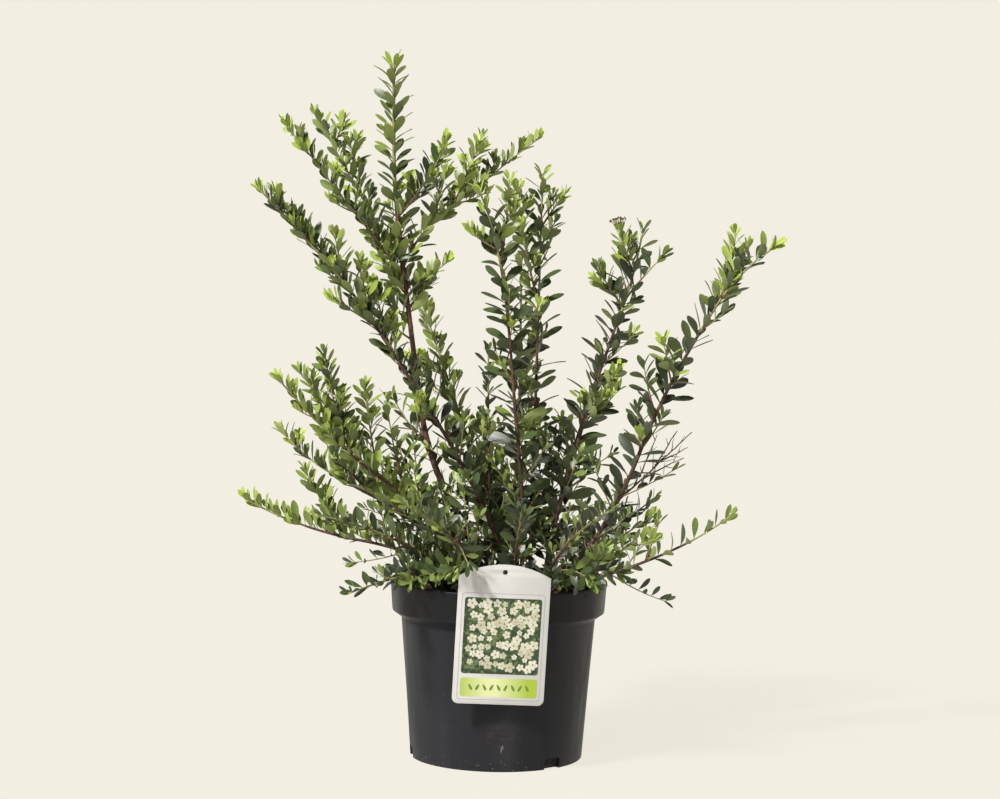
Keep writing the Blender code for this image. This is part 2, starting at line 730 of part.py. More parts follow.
    def join(self, paint):
        """Join the twigs and leaves by one union on their collection, and drop loose scraps."""
        boolean(self.base, "UNION", pieces=self.joining)
        for piece in self.objects:
            bpy.data.objects.remove(piece)
        shape = bmesh.new()
        shape.from_mesh(self.base.data)
        keep_largest_body(shape)
        bmesh.ops.triangulate(shape, faces=shape.faces)
        shape.to_mesh(self.base.data)
        shape.free()
        self.base.data.materials.clear()
        self.base.data.materials.append(paint)


def keep_largest_body(shape):
    """Drop every body but the one with the most points, sealed hollows among them."""
    unseen = set(shape.verts)
    bodies = []
    while unseen:
        body = {unseen.pop()}
        edge = list(body)
        while edge:
            vertex = edge.pop()
            for link in vertex.link_edges:
                other = link.other_vert(vertex)
                if other not in body:
                    body.add(other)
                    edge.append(other)
        unseen -= body
        bodies.append(body)
    bodies.sort(key=len)
    for body in bodies[:-1]:
        bmesh.ops.delete(shape, geom=list(body), context="VERTS")


def side_start(growth, distance, heading, leans, limb_radius, twig_radius, play=BRANCH_PLAY):
    """Where a shoot on a limb's side starts, clear of the limb by the gap and a play for its foot."""
    way = growth.way(distance)
    aim = direction(heading, leans[0])
    lateral = (aim - way * aim.dot(way)).normalized()
    off = limb_radius + GAP + TWIG_SPREAD * twig_radius * abs(aim.dot(way)) + play
    return growth.at(distance) + lateral * off


def make_dry_twigs(growths, parts):
    """The bundle of bare dry twigs beside the far right cane, joined into one solid."""
    cane = next(cane for cane in CANES if cane.name == DRY_CANE)
    limb = cane_radius(cane, DRY_AT)
    side = growths[DRY_CANE]
    start = side_start(side, DRY_AT, DRY_HEADING, DRY_LEANS, limb, DRY_RADIUS, DRY_PLAY)
    growth = Growth(start, DRY_HEADING, DRY_LEANS, DRY_LENGTH)
    bundle = Mass(DRY_TWIGS, growth, 0.0, DRY_RADIUS, parts)
    parts["crown"].add(bundle.name, bundle.base.data, bundle.base.matrix_world)
    for distance, heading, leans, length in DRY_FAN:
        bundle.add_shoot(Growth(growth.at(distance), heading, leans, length), DRY_RADIUS)
    bundle.join(material("dry wood", DRY_BROWN))


def make_masses(growths, parts):
    """Each cane's leaves, and each branch that leaves a bare limb, as a mass of its own."""
    masses = {}
    canes = {cane.name: cane for cane in CANES}
    for cane in CANES:
        start = cane.bare + GAP if cane.bare else 0.0
        radius = cane_radius(cane, cane.bare)
        growth = growths[cane.name]
        foot = None if cane.bare else growth.start - UP * FLAT_CUT
        masses[cane.name] = Mass(f"leaves_{cane.name}", growth, start, radius, parts, foot)
    for shoot in SHOOTS:
        cane = canes.get(shoot.cane)
        if not shoot.name:
            continue
        limb = cane_radius(cane, shoot.at)
        start = side_start(growths[cane.name], shoot.at, shoot.heading, shoot.leans, limb, BRANCH_RADIUS)
        growth = Growth(start, shoot.heading, shoot.leans, shoot.length)
        growths[shoot.name] = growth
        masses[shoot.name] = Mass(f"leaves_{shoot.name}", growth, 0.0, BRANCH_RADIUS, parts)
    for mass in masses.values():
        parts["crown"].add(mass.name, mass.base.data, mass.base.matrix_world)
    return masses


def grow_masses(growths, masses, paint):
    """Grow each mass's shoots, side twigs and leaves, then join them."""
    for shoot in SHOOTS:
        if shoot.name:
            continue
        start = growths[shoot.cane].at(shoot.at)
        growth = Growth(start, shoot.heading, shoot.leans, shoot.length)
        masses[shoot.cane].add_shoot(growth, SHOOT_RADIUS)
        if (shoot.cane, shoot.at) == HEAD_SHOOT:
            masses[shoot.cane].add_head(growth)
    for mass in masses.values():
        mass.side_twigs()
        for growth, start, twig in mass.stems:
            mass.leaves_along(growth, start, twig)
        mass.join(paint)


def main():
    for old in list(bpy.data.objects):
        bpy.data.objects.remove(old)
    home = collection(COLLECTION)
    cutters = collection("cutters")
    joining = collection("joining")
    root = add_object(COLLECTION, None, home)

    crown = Crown()
    fixed = [make_pot(home, cutters), make_soil(home), make_stem(home)]
    for piece in fixed:
        crown.add(piece.name, evaluated_mesh(piece), piece.matrix_world.copy())
    label = make_label(home, cutters)
    crown.add(label.name, label.data, label.matrix_world)

    bark = material("bark", BARK_BROWN)
    growths = make_canes(home, crown, bark)
    outline = three_sided(cutters)
    outline.hide_render = True
    parts = {"home": home, "joining": joining, "outline": outline, "leaf": leaf_mesh(), "crown": crown}
    green = material("leaf green", LEAF_GREEN)
    masses = make_masses(growths, parts)
    make_dry_twigs(growths, parts)
    grow_masses(growths, masses, green)

    for piece in home.objects:
        if piece is not root:
            matrix = piece.matrix_world.copy()
            piece.parent = root
            piece.matrix_world = matrix


main()
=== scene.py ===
"""Potted spirea: the looks of a young nursery shrub in its pot, laid out as an add-on.

Everything is in metres with +Z up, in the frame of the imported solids, and the label faces -Y.
A heading turns from +X towards +Y, and a lean is measured from upright. A finished piece's object
sits at the origin with its place in its mesh.
"""

import json
import math
import random
from collections import namedtuple
from functools import lru_cache, reduce

import bmesh
import bpy
from bpy.props import FloatProperty, FloatVectorProperty, IntProperty, PointerProperty
from mathutils import Matrix, Quaternion, Vector, noise

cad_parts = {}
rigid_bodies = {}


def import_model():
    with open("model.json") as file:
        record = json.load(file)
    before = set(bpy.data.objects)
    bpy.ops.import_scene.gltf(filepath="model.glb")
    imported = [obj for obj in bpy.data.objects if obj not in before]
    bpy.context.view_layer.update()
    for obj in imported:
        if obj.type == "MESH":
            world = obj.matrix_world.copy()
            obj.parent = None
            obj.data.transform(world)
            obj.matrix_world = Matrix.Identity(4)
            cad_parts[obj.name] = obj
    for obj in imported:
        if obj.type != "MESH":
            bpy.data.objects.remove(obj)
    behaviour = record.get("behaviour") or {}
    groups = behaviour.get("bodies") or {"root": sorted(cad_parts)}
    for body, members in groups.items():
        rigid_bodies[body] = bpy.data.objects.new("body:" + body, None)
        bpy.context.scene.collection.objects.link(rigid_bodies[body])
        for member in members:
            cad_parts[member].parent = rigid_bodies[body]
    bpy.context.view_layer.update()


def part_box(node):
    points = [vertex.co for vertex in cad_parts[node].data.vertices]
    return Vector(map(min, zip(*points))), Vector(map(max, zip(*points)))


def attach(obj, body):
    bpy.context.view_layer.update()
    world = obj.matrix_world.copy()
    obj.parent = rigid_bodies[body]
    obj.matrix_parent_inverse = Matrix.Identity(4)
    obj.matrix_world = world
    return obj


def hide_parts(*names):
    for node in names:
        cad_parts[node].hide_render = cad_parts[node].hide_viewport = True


bl_info = {
    "name": "Potted spirea",
    "version": (1, 0, 0),
    "blender": (4, 5, 0),
    "location": "View3D > Sidebar > Spirea",
    "description": "Builds a leafy young shrub with its nursery pot, soil and picture label",
    "category": "Add Mesh",
}

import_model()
BODY = "root"

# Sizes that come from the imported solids
_, POT_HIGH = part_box("pot")
SOIL_LOW, SOIL_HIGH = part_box("potting_soil")
POT_HEIGHT = POT_HIGH.z
RIM_RADIUS = POT_HIGH.x
SOIL_TOP = SOIL_HIGH.z
GAP = 0.0003

# The pot's other sizes, as its solid has them
BAND_HEIGHT = 0.0265
BAND_CHAMFER = 0.0057
BAND_FOOT_RADIUS = 0.093
WALL_TOP_RADIUS = 0.0851
BASE_RADIUS = 0.0753
WALL_THICK = 0.002
SLOT_HEADINGS = (-50.0, 70.0, 190.0)
SLOT_SIZE = (0.012, 0.017, 0.019)
SLOT_CORNER = 0.0022
FOOT_ROUND = 0.0012
FLOOR_TOP = 0.0022
WALL_STEPS = 14
# Soft dents in the wall, from a radius outwards, the deepest round a heading, none over a height
DENT_FROM_RADIUS = 0.07
DENT_HEADING = 228.0
DENT_TOP = 0.1545
# The hollow under the floor, as its radius, the start of its slope and its height
UNDER_FLOOR = (0.0575, 0.056, 0.0008)

# Marks on the pot: heights of the band's painted shade and of splashes, places with their reach and edge
# The band under the rim gets painted shade, a colour darker than the clean plastic, where overhanging
# foliage would shade it
SHADED_BAND_LEVELS = (0.123, 0.131)
SHADED_BAND_SHARE = 0.45
SPLASH_LEVELS = (0.001, 0.012)
SCUFF_PLACE = (0.0052, -0.0765, 0.0200)
SCUFF_SIZE = (0.0004, 0.0011)
EARTH_PLACE = (0.004, -0.0765, 0.030)
EARTH_SIZE = (0.006, 0.014)
# Heights between which the painted shade low in the pot fades and the peat gets lighter
PEAT_SHADE_LEVELS = (0.04, 0.12)
# How far the soil stays in from the pot's outside, and how deep its top lies under its box
SOIL_INSET = 0.0026
SOIL_DIP = 0.0014
SOIL_STEPS = 96
SOIL_RINGS = 34

# The label, in its own plane: x to the right, y up from the shoulder, z out of the front
CARD_WIDTH = 0.0775
CARD_SIDE_HEIGHT = 0.1092
CARD_ARCH = 0.0105
CARD_THICK = 0.0008
CARD_BEVEL = 0.00012
CARD_CORNER = 0.005
CARD_HOLE_RADIUS = 0.0022
CARD_HOLE_DROP = 0.0065
CARD_OFF = -0.005
CARD_TOP = 0.1805
CARD_ROLL = 2.0
CARD_PITCH = 4.0
LABEL_TURN = 6.0
HOOK_WIDTH = 0.014
HOOK_REACH = 0.0095
HOOK_PLAY = 0.0018
PRINT_THICK = 0.00004
# Its print: insets from the card's edges, heights over its foot and drops from its shoulder
PRINT_INSET = 0.0062
PRINT_CORNER = 0.0022
BAND_TOP = 0.0225
PANEL_FOOT = 0.0260
PANEL_DROP = 0.0180
LINE_INSET = 0.0036
LINE_DROP = 0.0140
LINE_WIDTH = 0.0004
LINE_CORNER = 0.0030
PICTURE_INSET = 0.0044

# Growth
STEM_PLACE = (0.003, -0.001)
STEM_HEIGHT = 0.014
STEM_FOOT_RADIUS = 0.0125
STEM_TOP_RADIUS = 0.0100
CANE_TAPER = 0.62
FLAT_CUT = 0.003
GROWTH_STEPS = 64
GOLDEN_TURN = 137.5
BRANCH_RADIUS = 0.0013
SHOOT_RADIUS = 0.0011
TIP_RADIUS = 0.00035
SHOOT_BARE = 0.004
TIP_SET_BACK = 0.005
# Leaves start lower on a cane than in its solid, at a share of its bare length
LEAVES_FROM = 0.25
LEADER_LEAVES_FROM = 0.80
UP = Vector((0.0, 0.0, 1.0))

# How a stem carries its leaves and spurs. Its underside is left bare by the share named bare.
Habit = namedtuple(
    "Habit", "leaf_low leaf_tip spacing splay_low splay_tip lift bare spurs spur_sizes tones fresh")
NO_SPURS = (0.0, 0.0)
# The tones weigh the leaf colours. The darker weights of the open, one_sided, filler, inner and over_rim
# habits are partly painted shade, for leaves on the right, low in the plant and over the rim, and partly
# the leaves' own tone; the leader's light weights are partly painted light at the top
OPEN_TONES = (46, 38, 15, 1)
HABITS = {
    "leader": Habit(0.027, 0.020, 0.0031, 56, 46, 0.30, 0.85, 0.0, NO_SPURS, (0, 0, 55, 45), 1.0),
    "bushy": Habit(0.024, 0.016, 0.0029, 62, 46, 0.85, 0.85, 0.017, (0.010, 0.028), (6, 24, 42, 28), 0.9),
    "open": Habit(0.0325, 0.019, 0.0051, 76, 48, 0.28, 0.85, 0.052, (0.014, 0.028), OPEN_TONES, 0.4),
    "one_sided": Habit(0.034, 0.019, 0.0037, 80, 48, 0.40, 1.7, 0.060, (0.014, 0.026), OPEN_TONES, 0.4),
    "filler": Habit(0.021, 0.015, 0.0050, 60, 40, 0.60, 0.0, 0.018, (0.014, 0.032), (56, 34, 10, 0), 0.04),
    "over_rim": Habit(0.023, 0.018, 0.0040, 62, 50, 0.05, 0.0, 0.0, NO_SPURS, (62, 33, 5, 0), 0.0),
    "inner": Habit(0.023, 0.017, 0.0052, 64, 46, 0.35, 0.85, 0.0, NO_SPURS, (44, 38, 17, 1), 0.0),
}
# The upper sides of leaves turn partly this way
FRONT = Vector((-0.35, -0.85, 0.40))

# The canes as the solids have them: foot (x, y), heading, leans, length, bare length, radius
Cane = namedtuple("Cane", "name foot heading leans length bare radius habit")
CANES = (
    Cane("tall_left", (-0.002, 0.003), 170, (37, 30, 9, 8, 8, 1, 1), 0.470, 0.302, 0.0032, "leader"),
    Cane("arching_left", (0.009, -0.006), 195, (18, 28, 34, 34, 44, 44), 0.408, 0.100, 0.0021, "bushy"),
    Cane("middle", (0.020, 0.000), 215, (0, 1, 8, 6, 8, 15, 30), 0.360, 0.100, 0.0020, "open"),
    Cane("middle_back", (0.027, 0.014), 84, (8, 10, 9, 6), 0.376, 0.125, 0.0019, "open"),
    Cane("upright_right", (0.038, 0.004), 30, (9, 17, 19, 23, 9), 0.338, 0.118, 0.0021, "open"),
    Cane("far_right", (0.044, -0.009), -12, (45, 31, 20, 27, 32, 58), 0.368, 0.112, 0.0022, "one_sided"),
    Cane("left", (-0.003, -0.018), 201, (42, 43, 55, 46, 42), 0.278, 0.100, 0.0019, "bushy"),
    Cane("low_left", (-0.011, 0.015), 163, (38, 54, 68, 62, 40), 0.245, 0.072, 0.0019, "bushy"),
    Cane("lowest_left", (-0.022, -0.003), 185, (46, 70, 80, 70, 60), 0.222, 0.084, 0.0018, "bushy"),
    Cane("low_right", (0.054, -0.023), -15, (60, 70, 62, 50), 0.172, 0.056, 0.0017, "inner"),
    Cane("back", (0.016, 0.028), 90, (10, 20, 28, 30), 0.320, 0.105, 0.0020, "open"),
    Cane("back_left", (-0.006, 0.033), 118, (14, 28, 40, 38), 0.300, 0.100, 0.0019, "bushy"),
    Cane("back_right", (0.040, 0.030), 60, (14, 28, 38, 34), 0.290, 0.100, 0.0019, "open"),
    Cane("back_low", (0.005, 0.045), 96, (34, 56, 66), 0.215, 0.070, 0.0018, "bushy"),
    Cane("back_low_left", (-0.028, 0.024), 147, (40, 60, 62), 0.180, 0.060, 0.0017, "bushy"),
    Cane("back_low_right", (0.055, 0.027), 38, (42, 60, 62), 0.140, 0.0, 0.0016, "filler"),
    Cane("inner", (-0.004, 0.019), 105, (18, 12, 5, 3), 0.218, 0.0, 0.0016, "filler"),
    Cane("short_right", (0.060, 0.006), 22, (42, 52, 66), 0.110, 0.0, 0.0016, "filler"),
    Cane("rim_left", (-0.034, -0.026), 226, (54, 80, 98, 102), 0.140, 0.0, 0.0016, "filler"),
    Cane("rim_right", (0.050, -0.036), -42, (42, 64, 78), 0.130, 0.0, 0.0016, "filler"),
    Cane("front", (0.013, -0.032), -88, (32, 60, 72), 0.158, 0.0, 0.0016, "filler"),
    Cane("front_left", (-0.013, -0.034), -118, (34, 60, 76), 0.172, 0.0, 0.0016, "filler"),
    Cane("front_right", (0.034, -0.034), -62, (32, 58, 72), 0.158, 0.0, 0.0016, "filler"),
    Cane("front_low_left", (-0.030, -0.015), 207, (42, 66, 78), 0.165, 0.0, 0.0016, "filler"),
)

# A shoot leaves a cane, or a named shoot, at a distance from its foot. A named one is a mass.
Shoot = namedtuple("Shoot", "cane at heading leans length habit name", defaults=("bushy", ""))


def shoots_of(groups):
    """The shoots of a table that holds them by what they leave."""
    return [Shoot(cane, *row) for cane, rows in groups.items() for row in rows]


SHOOTS = shoots_of({
    "tall_left": (
        (0.260, -20, (44, 52, 56), 0.056, "bushy", "tall_left_low"),
        (0.276, 195, (34, 42, 38, 42), 0.176, "bushy", "tall_left_outer"),
        (0.286, 20, (20, 47, 53, 51, 56), 0.178, "bushy", "tall_left_right"),
        (0.290, 150, (40, 34, 36), 0.168, "bushy", "tall_left_inner"),
        (0.330, -45, (54, 46, 40, 18), 0.096),
    ),
    "tall_left_right": ((0.072, 10, (24, 22, 20), 0.070),),
    "arching_left": ((0.250, 190, (56, 66), 0.052),),
    "middle": ((0.288, 10, (10, 0), 0.078), (0.300, 190, (62, 52), 0.034)),
    "middle_back": ((0.304, 20, (25, 38), 0.034), (0.322, 10, (30, 42), 0.042)),
    "upright_right": (
        (0.150, -30, (40, 26), 0.066),
        (0.262, 190, (40, 28), 0.048),
        (0.270, -10, (36, 46), 0.056, "open"),
        (0.294, 190, (26, 12), 0.046),
    ),
    "far_right": ((0.284, 40, (40, 0), 0.080), (0.294, 10, (27, 26), 0.062)),
    "left": ((0.168, 160, (26, 22), 0.080),),
    "low_left": ((0.130, 205, (50, 44, 34), 0.082),),
    "back": ((0.180, 70, (48, 36), 0.080),),
    "back_left": ((0.170, 165, (50, 40), 0.070),),
    "back_right": ((0.150, 20, (50, 40), 0.060),),
})
# The shoot with the dried flower head, by its cane and distance
HEAD_SHOOT = ("upright_right", 0.294)
# Finer shoots that the solids leave out, within the reach of their masses
FINE_SHOOTS = shoots_of({
    "tall_left": (
        (0.100, 178, (30, 12, 6), 0.110, "inner"),
        (0.126, 196, (46, 26), 0.060, "inner"),
        (0.238, 184, (52, 40), 0.054),
        (0.250, 20, (40, 30), 0.040),
        (0.262, 186, (46, 30, 20), 0.062),
        (0.222, 190, (60, 44), 0.030),
    ),
    "tall_left_right": ((0.048, 60, (20, 32), 0.058),),
    "tall_left_inner": ((0.126, 60, (36, 20), 0.034), (0.096, 60, (30, 10), 0.040)),
    "arching_left": (
        (0.226, 152, (22, 10), 0.058),
        (0.256, 160, (18, 8), 0.056),
        (0.292, 150, (22, 10), 0.052),
        (0.316, 188, (34, 50), 0.072),
        (0.340, 150, (30, 40), 0.034),
        (0.378, 120, (30, 20), 0.024),
    ),
    "middle_back": ((0.252, 192, (16, 6), 0.112),),
    "far_right": ((0.150, 100, (30, 10), 0.044, "inner"), (0.184, 190, (20, 8), 0.050, "open")),
    "left": (
        (0.172, 182, (28, 42), 0.096),
        (0.118, 152, (20, 8), 0.094, "inner"),
        (0.100, 126, (16, 10), 0.066, "inner"),
        (0.030, 185, (30, 16), 0.080, "inner"),
        (0.052, 150, (26, 12), 0.060, "inner"),
        (0.086, 172, (32, 16), 0.086, "inner"),
        (0.150, 150, (14, 8), 0.084),
        (0.190, 166, (14, 12), 0.088),
    ),
    "lowest_left": ((0.118, 166, (44, 38, 24), 0.078),),
    "front_left": (
        (0.018, -134, (52, 84, 112), 0.066, "over_rim"),
        (0.030, -112, (56, 90, 116), 0.058, "over_rim"),
        (0.030, 140, (14, 6), 0.085, "inner"),
        (0.080, -62, (100, 128, 140), 0.042, "over_rim"),
    ),
    "front_low_left": ((0.020, 214, (54, 84, 112), 0.066, "over_rim"),),
    "front_right": ((0.020, -52, (52, 84, 112), 0.062, "over_rim"),),
    "rim_left": (
        (0.014, 236, (50, 82, 112), 0.066, "over_rim"),
        (0.026, 212, (52, 86, 112), 0.058, "over_rim"),
    ),
    "rim_right": (
        (0.014, -64, (50, 82, 110), 0.060, "over_rim"),
        (0.024, -30, (52, 84, 110), 0.056, "over_rim"),
    ),
})
# How high on its cane a fine shoot counts as leaving, from 0 to 1
FINE_HIGH = 0.45

# Twigs that leave a stem in a spiral: the distance between two and how it starts and varies, their
# lengths, angles and lift, the share of its lean that a twig keeps to its tip, how much shorter they
# get up the stem, their leafless foot, radius and order, and whether a low one is less fresh
Twigs = namedtuple(
    "Twigs", "every begins varies lengths angles lift straightens shortens bare radius order fades")
SEED = 20
SIDE_TWIGS = Twigs(0.064, (0.0, 0.4), (0.8, 1.2), (0.020, 0.044), (42.0, 42.0), 0.20, 0.75, 0.0,
                   0.003, 0.0009, 2, False)
SIDE_FROM = 0.35
SIDE_OFF_START = 0.020
SIDE_OFF_TIP = 0.045
# Spurs, whose distance and lengths come from a habit
SPURS = Twigs(0.0, (0.4, 1.0), (0.7, 1.3), NO_SPURS, (38.0, 56.0), 0.30, 0.80, 0.45,
              0.002, 0.0006, 3, True)
# Where the leader has spurs, from and to
LEADER_SPURS = (0.225, 0.350)
# Thin twigs that fill the plant between the lower lengths of its canes
INNER_TWIGS = Twigs(0.013, (0.0, 1.0), (0.7, 1.3), (0.030, 0.062), (42.0, 64.0), 0.22, 0.85, 0.0,
                    0.003, 0.0007, 3, False)
INNER_FROM = 0.012
INNER_PAST_BARE = 0.015
INNER_TOP = 0.115

# Leaves in a stem's last length: its reach, and how much closer, straighter and smaller they get
TIP_REACH = 0.014
TIP_CLOSER = 0.65
TIP_STRAIGHTER = 0.55
TIP_SMALLER = 0.36
# How far back from a tip the tip's tone, the lime tone and the next fresher tone reach
TIP_TONE = 0.006
LIME_TONE = 0.013
FRESHER_TONE = 0.022

# The share of a twig that is brown, by its order
BROWN_SHARES = (0.55, 0.45, 0.35, 0.30)

# Scars of old buds on a cane
SCAR_EVERY = 0.013
SCAR_LENGTH = 0.0045
SCAR_SWELL = 0.16

# The bare dry twigs beside the far right cane
DRY_AT = 0.104
DRY_HEADING = 12.0
DRY_LEANS = (50, 46, 48)
DRY_LENGTH = 0.086
DRY_RADIUS = 0.0011
DRY_FAN = (
    (0.016, 40.0, (34, 30), 0.052),
    (0.026, -40.0, (62, 66), 0.050),
    (0.040, 30.0, (38, 34), 0.040),
    (0.050, -30.0, (66, 60), 0.028),
)

# The dried flower head: its stalks, its radius, its height and how far its edge lies lower
HEAD_STALKS = 26
HEAD_RADIUS = 0.0078
HEAD_HEIGHT = 0.0085
HEAD_DOME = 0.0022

# Leaf colours from the darkest to the shoot tips, upper side and underside
Tone = namedtuple("Tone", "name upper under")
TONES = (
    Tone("shade", (36, 45, 27), (80, 90, 62)),
    Tone("deep", (62, 76, 38), (104, 114, 74)),
    Tone("green", (102, 119, 52), (132, 144, 86)),
    Tone("fresh", (130, 147, 62), (148, 160, 90)),
    Tone("lime", (138, 157, 62), (152, 168, 84)),
    Tone("tip", (150, 170, 66), (160, 176, 86)),
)
LEAF_FORMS = 6

# The camera, worked out from the pot's rim and base in the photograph
CAMERA_PLACE = (-0.00175, -2.150, 0.4444)
CAMERA_PITCH = 3.5
CAMERA_ROLL = 1.0
CAMERA_LENS = 88.9
# The stage's colours, and where its lights come from
CREAM = (242, 238, 226)
WARM = (255, 252, 246)
COOL = (246, 250, 255)
KEY_FROM = (-0.62, -0.66, 0.95)
FILL_FROM = (0.9, -0.5, 0.7)


def linear(colour):
    """A colour of 0 to 255 values as a shader takes it."""
    shares = [value / 255.0 for value in colour]
    return tuple(s / 12.92 if s <= 0.04045 else ((s + 0.055) / 1.055) ** 2.4 for s in shares)


def number_setting(name, description, default, **kind):
    """A number that a user may change, with its unit or subtype where it has one."""
    return FloatProperty(name=name, description=description, default=default, **kind)


def length_setting(name, description, default):
    return number_setting(name, description, default, unit="LENGTH")


def share_setting(name, description, default):
    return number_setting(name, description, default, subtype="FACTOR")


def colour_setting(name, description, default):
    """A colour that a user may change, given by 0 to 255 values."""
    return FloatVectorProperty(name=name, description=description, default=linear(default),
                               subtype="COLOR")


class PotSettings(bpy.types.PropertyGroup):
    steps: IntProperty(name="Steps", description="Faces round the pot", default=144, min=24)
    wall: length_setting("Wall", "Thickness of the wall", WALL_THICK)
    dent: length_setting("Dent", "Depth of the soft dents", 0.0007)
    colour: colour_setting("Colour", "Colour of the clean plastic", (31, 31, 36))
    dust: colour_setting("Dust", "Colour of the dusty streaks", (54, 54, 59))


class SoilSettings(bpy.types.PropertyGroup):
    lumps: length_setting("Lumps", "Height of the lumps", 0.0024)
    crumbs: number_setting("Crumbs", "Crumbs on a square metre", 90000.0)
    crumb_size: length_setting("Crumb size", "Size of a crumb", 0.0024)
    colour: colour_setting("Peat", "Colour of moist peat", (62, 47, 36))


class LabelSettings(bpy.types.PropertyGroup):
    white: colour_setting("Card", "Colour of the card", (192, 191, 190))
    band: colour_setting("Band", "Colour of the band", (152, 174, 56))
    panel: colour_setting("Panel", "Colour behind the blossoms", (46, 62, 38))
    blossoms: IntProperty(name="Blossoms", description="Seed of the blossoms' places", default=4)


class BarkSettings(bpy.types.PropertyGroup):
    sides: IntProperty(name="Sides", description="Faces round a cane", default=12, min=6)
    step: length_setting("Step", "Length of a ring of faces", 0.0022)
    relief: share_setting("Relief", "Depth of the bark's ridges", 0.07)
    woody: share_setting("Woody", "Share of a cane that has bark", 0.72)
    brown: colour_setting("Bark", "Colour of the bark", (72, 50, 41))
    red: colour_setting("Oldest bark", "Colour of the tall cane's bark", (90, 61, 53))
    green: colour_setting("Shoots", "Colour of this year's shoots", (134, 132, 80))
    dry: colour_setting("Dry wood", "Colour of the dry twigs", (122, 104, 82))


class LeafSettings(bpy.types.PropertyGroup):
    width: share_setting("Width", "Width for its length", 0.355)
    thick: share_setting("Thickness", "Thickness for its length", 0.016)
    size: number_setting("Size", "Size of every leaf", 1.0)
    roughness: share_setting("Roughness", "Roughness of the upper side", 0.42)


class StageSettings(bpy.types.PropertyGroup):
    floor: length_setting("Floor", "Side of the floor", 30.0)
    glow: number_setting("Glow", "Light that the paper floor gives", 0.910)
    sky: number_setting("Sky", "Strength of the light from overhead", 0.10)
    key: number_setting("Key", "Strength of the main light", 4.9)
    soft: number_setting("Soft", "Strength of the soft light beside the key", 1.5)
    fill: number_setting("Fill", "Strength of the second light", 0.02)


class SpireaSettings(bpy.types.PropertyGroup):
    pot: PointerProperty(type=PotSettings)
    soil: PointerProperty(type=SoilSettings)
    label: PointerProperty(type=LabelSettings)
    bark: PointerProperty(type=BarkSettings)
    leaf: PointerProperty(type=LeafSettings)
    stage: PointerProperty(type=StageSettings)


def node_in(tree, kind, values=(), **settings):
    """A node of a tree, with its settings, its plain inputs and links to other outputs."""
    made = tree.nodes.new(kind)
    for key, value in settings.items():
        setattr(made, key, value)
    for socket, value in dict(values).items():
        if isinstance(value, bpy.types.NodeSocket):
            tree.links.new(value, made.inputs[socket])
        else:
            made.inputs[socket].default_value = value
    return made


class Finish:
    """A Principled material, with short ways to wire its patterns."""

    def __init__(self, name, colour, roughness, **plain):
        self.material = bpy.data.materials.new(name)
        self.material.use_nodes = True
        self.tree = self.material.node_tree
        self.shader = self.tree.nodes["Principled BSDF"]
        self.shader.inputs["Base Color"].default_value = (*colour, 1.0)
        self.shader.inputs["Roughness"].default_value = roughness
        for socket, value in plain.items():
            self.shader.inputs[socket.replace("_", " ")].default_value = value
        self.material.diffuse_color = (*colour, 1.0)

    def place(self, along=1.0, shift=(0.0, 0.0, 0.0)):
        """Object coordinates with Z times along, then shifted. Under one, patterns are drawn out."""
        where = node_in(self.tree, "ShaderNodeTexCoord").outputs["Object"]
        values = {"Vector": where, "Scale": (1.0, 1.0, along), "Location": shift}
        return node_in(self.tree, "ShaderNodeMapping", values, vector_type="POINT").outputs["Vector"]

    def axis(self, name, shift=(0.0, 0.0, 0.0)):
        """One of the three object coordinates."""
        values = {"Vector": self.place(shift=shift)}
        return node_in(self.tree, "ShaderNodeSeparateXYZ", values).outputs[name]

    def noise(self, scale, detail, along=1.0):
        values = {"Vector": self.place(along), "Scale": scale, "Detail": detail}
        return node_in(self.tree, "ShaderNodeTexNoise", values).outputs["Fac"]

    def step(self, value, low, high, out_low=0.0, out_high=1.0):
        """A value from low to high as one from out_low to out_high, held at both ends."""
        values = {"Value": value, "From Min": low, "From Max": high, "To Min": out_low, "To Max": out_high}
        return node_in(self.tree, "ShaderNodeMapRange", values, clamp=True).outputs["Result"]

    def patches(self, scale, detail, low, high, along=1.0):
        """Patches of noise, from none where it is low to full where it is high."""
        return self.step(self.noise(scale, detail, along), low, high)

    def near(self, spot, reach, edge, along=1.0):
        """One inside a stretched ball round a spot, falling to zero over its edge."""
        values = {0: self.place(along), 1: (spot[0], spot[1], spot[2] * along)}
        far = node_in(self.tree, "ShaderNodeVectorMath", values, operation="DISTANCE").outputs["Value"]
        return self.step(far, reach, reach + edge, 1.0, 0.0)

    def product(self, first, second):
        return node_in(self.tree, "ShaderNodeMath", {0: first, 1: second}, operation="MULTIPLY").outputs[0]

    def mix(self, share, first, second):
        """The first colour, turning to the second as the share rises to one."""
        values = {0: share}
        for socket, value in ((6, first), (7, second)):
            values[socket] = value if isinstance(value, bpy.types.NodeSocket) else (*value, 1.0)
        return node_in(self.tree, "ShaderNodeMix", values, data_type="RGBA").outputs[2]

    def over(self, coat, colour, *shares):
        """A coat with a colour laid over it, by the product of some shares."""
        return self.mix(reduce(self.product, shares), coat, colour)

    def colour(self, socket):
        self.tree.links.new(socket, self.shader.inputs["Base Color"])

    def roughness(self, scale, detail, low, high, along=1.0):
        """A roughness that goes from low to high with noise."""
        dull = self.step(self.noise(scale, detail, along), 0.3, 0.7, low, high)
        self.tree.links.new(dull, self.shader.inputs["Roughness"])

    def bump(self, height, distance, strength=1.0):
        values = {"Height": height, "Distance": distance, "Strength": strength}
        made = node_in(self.tree, "ShaderNodeBump", values)
        self.tree.links.new(made.outputs["Normal"], self.shader.inputs["Normal"])


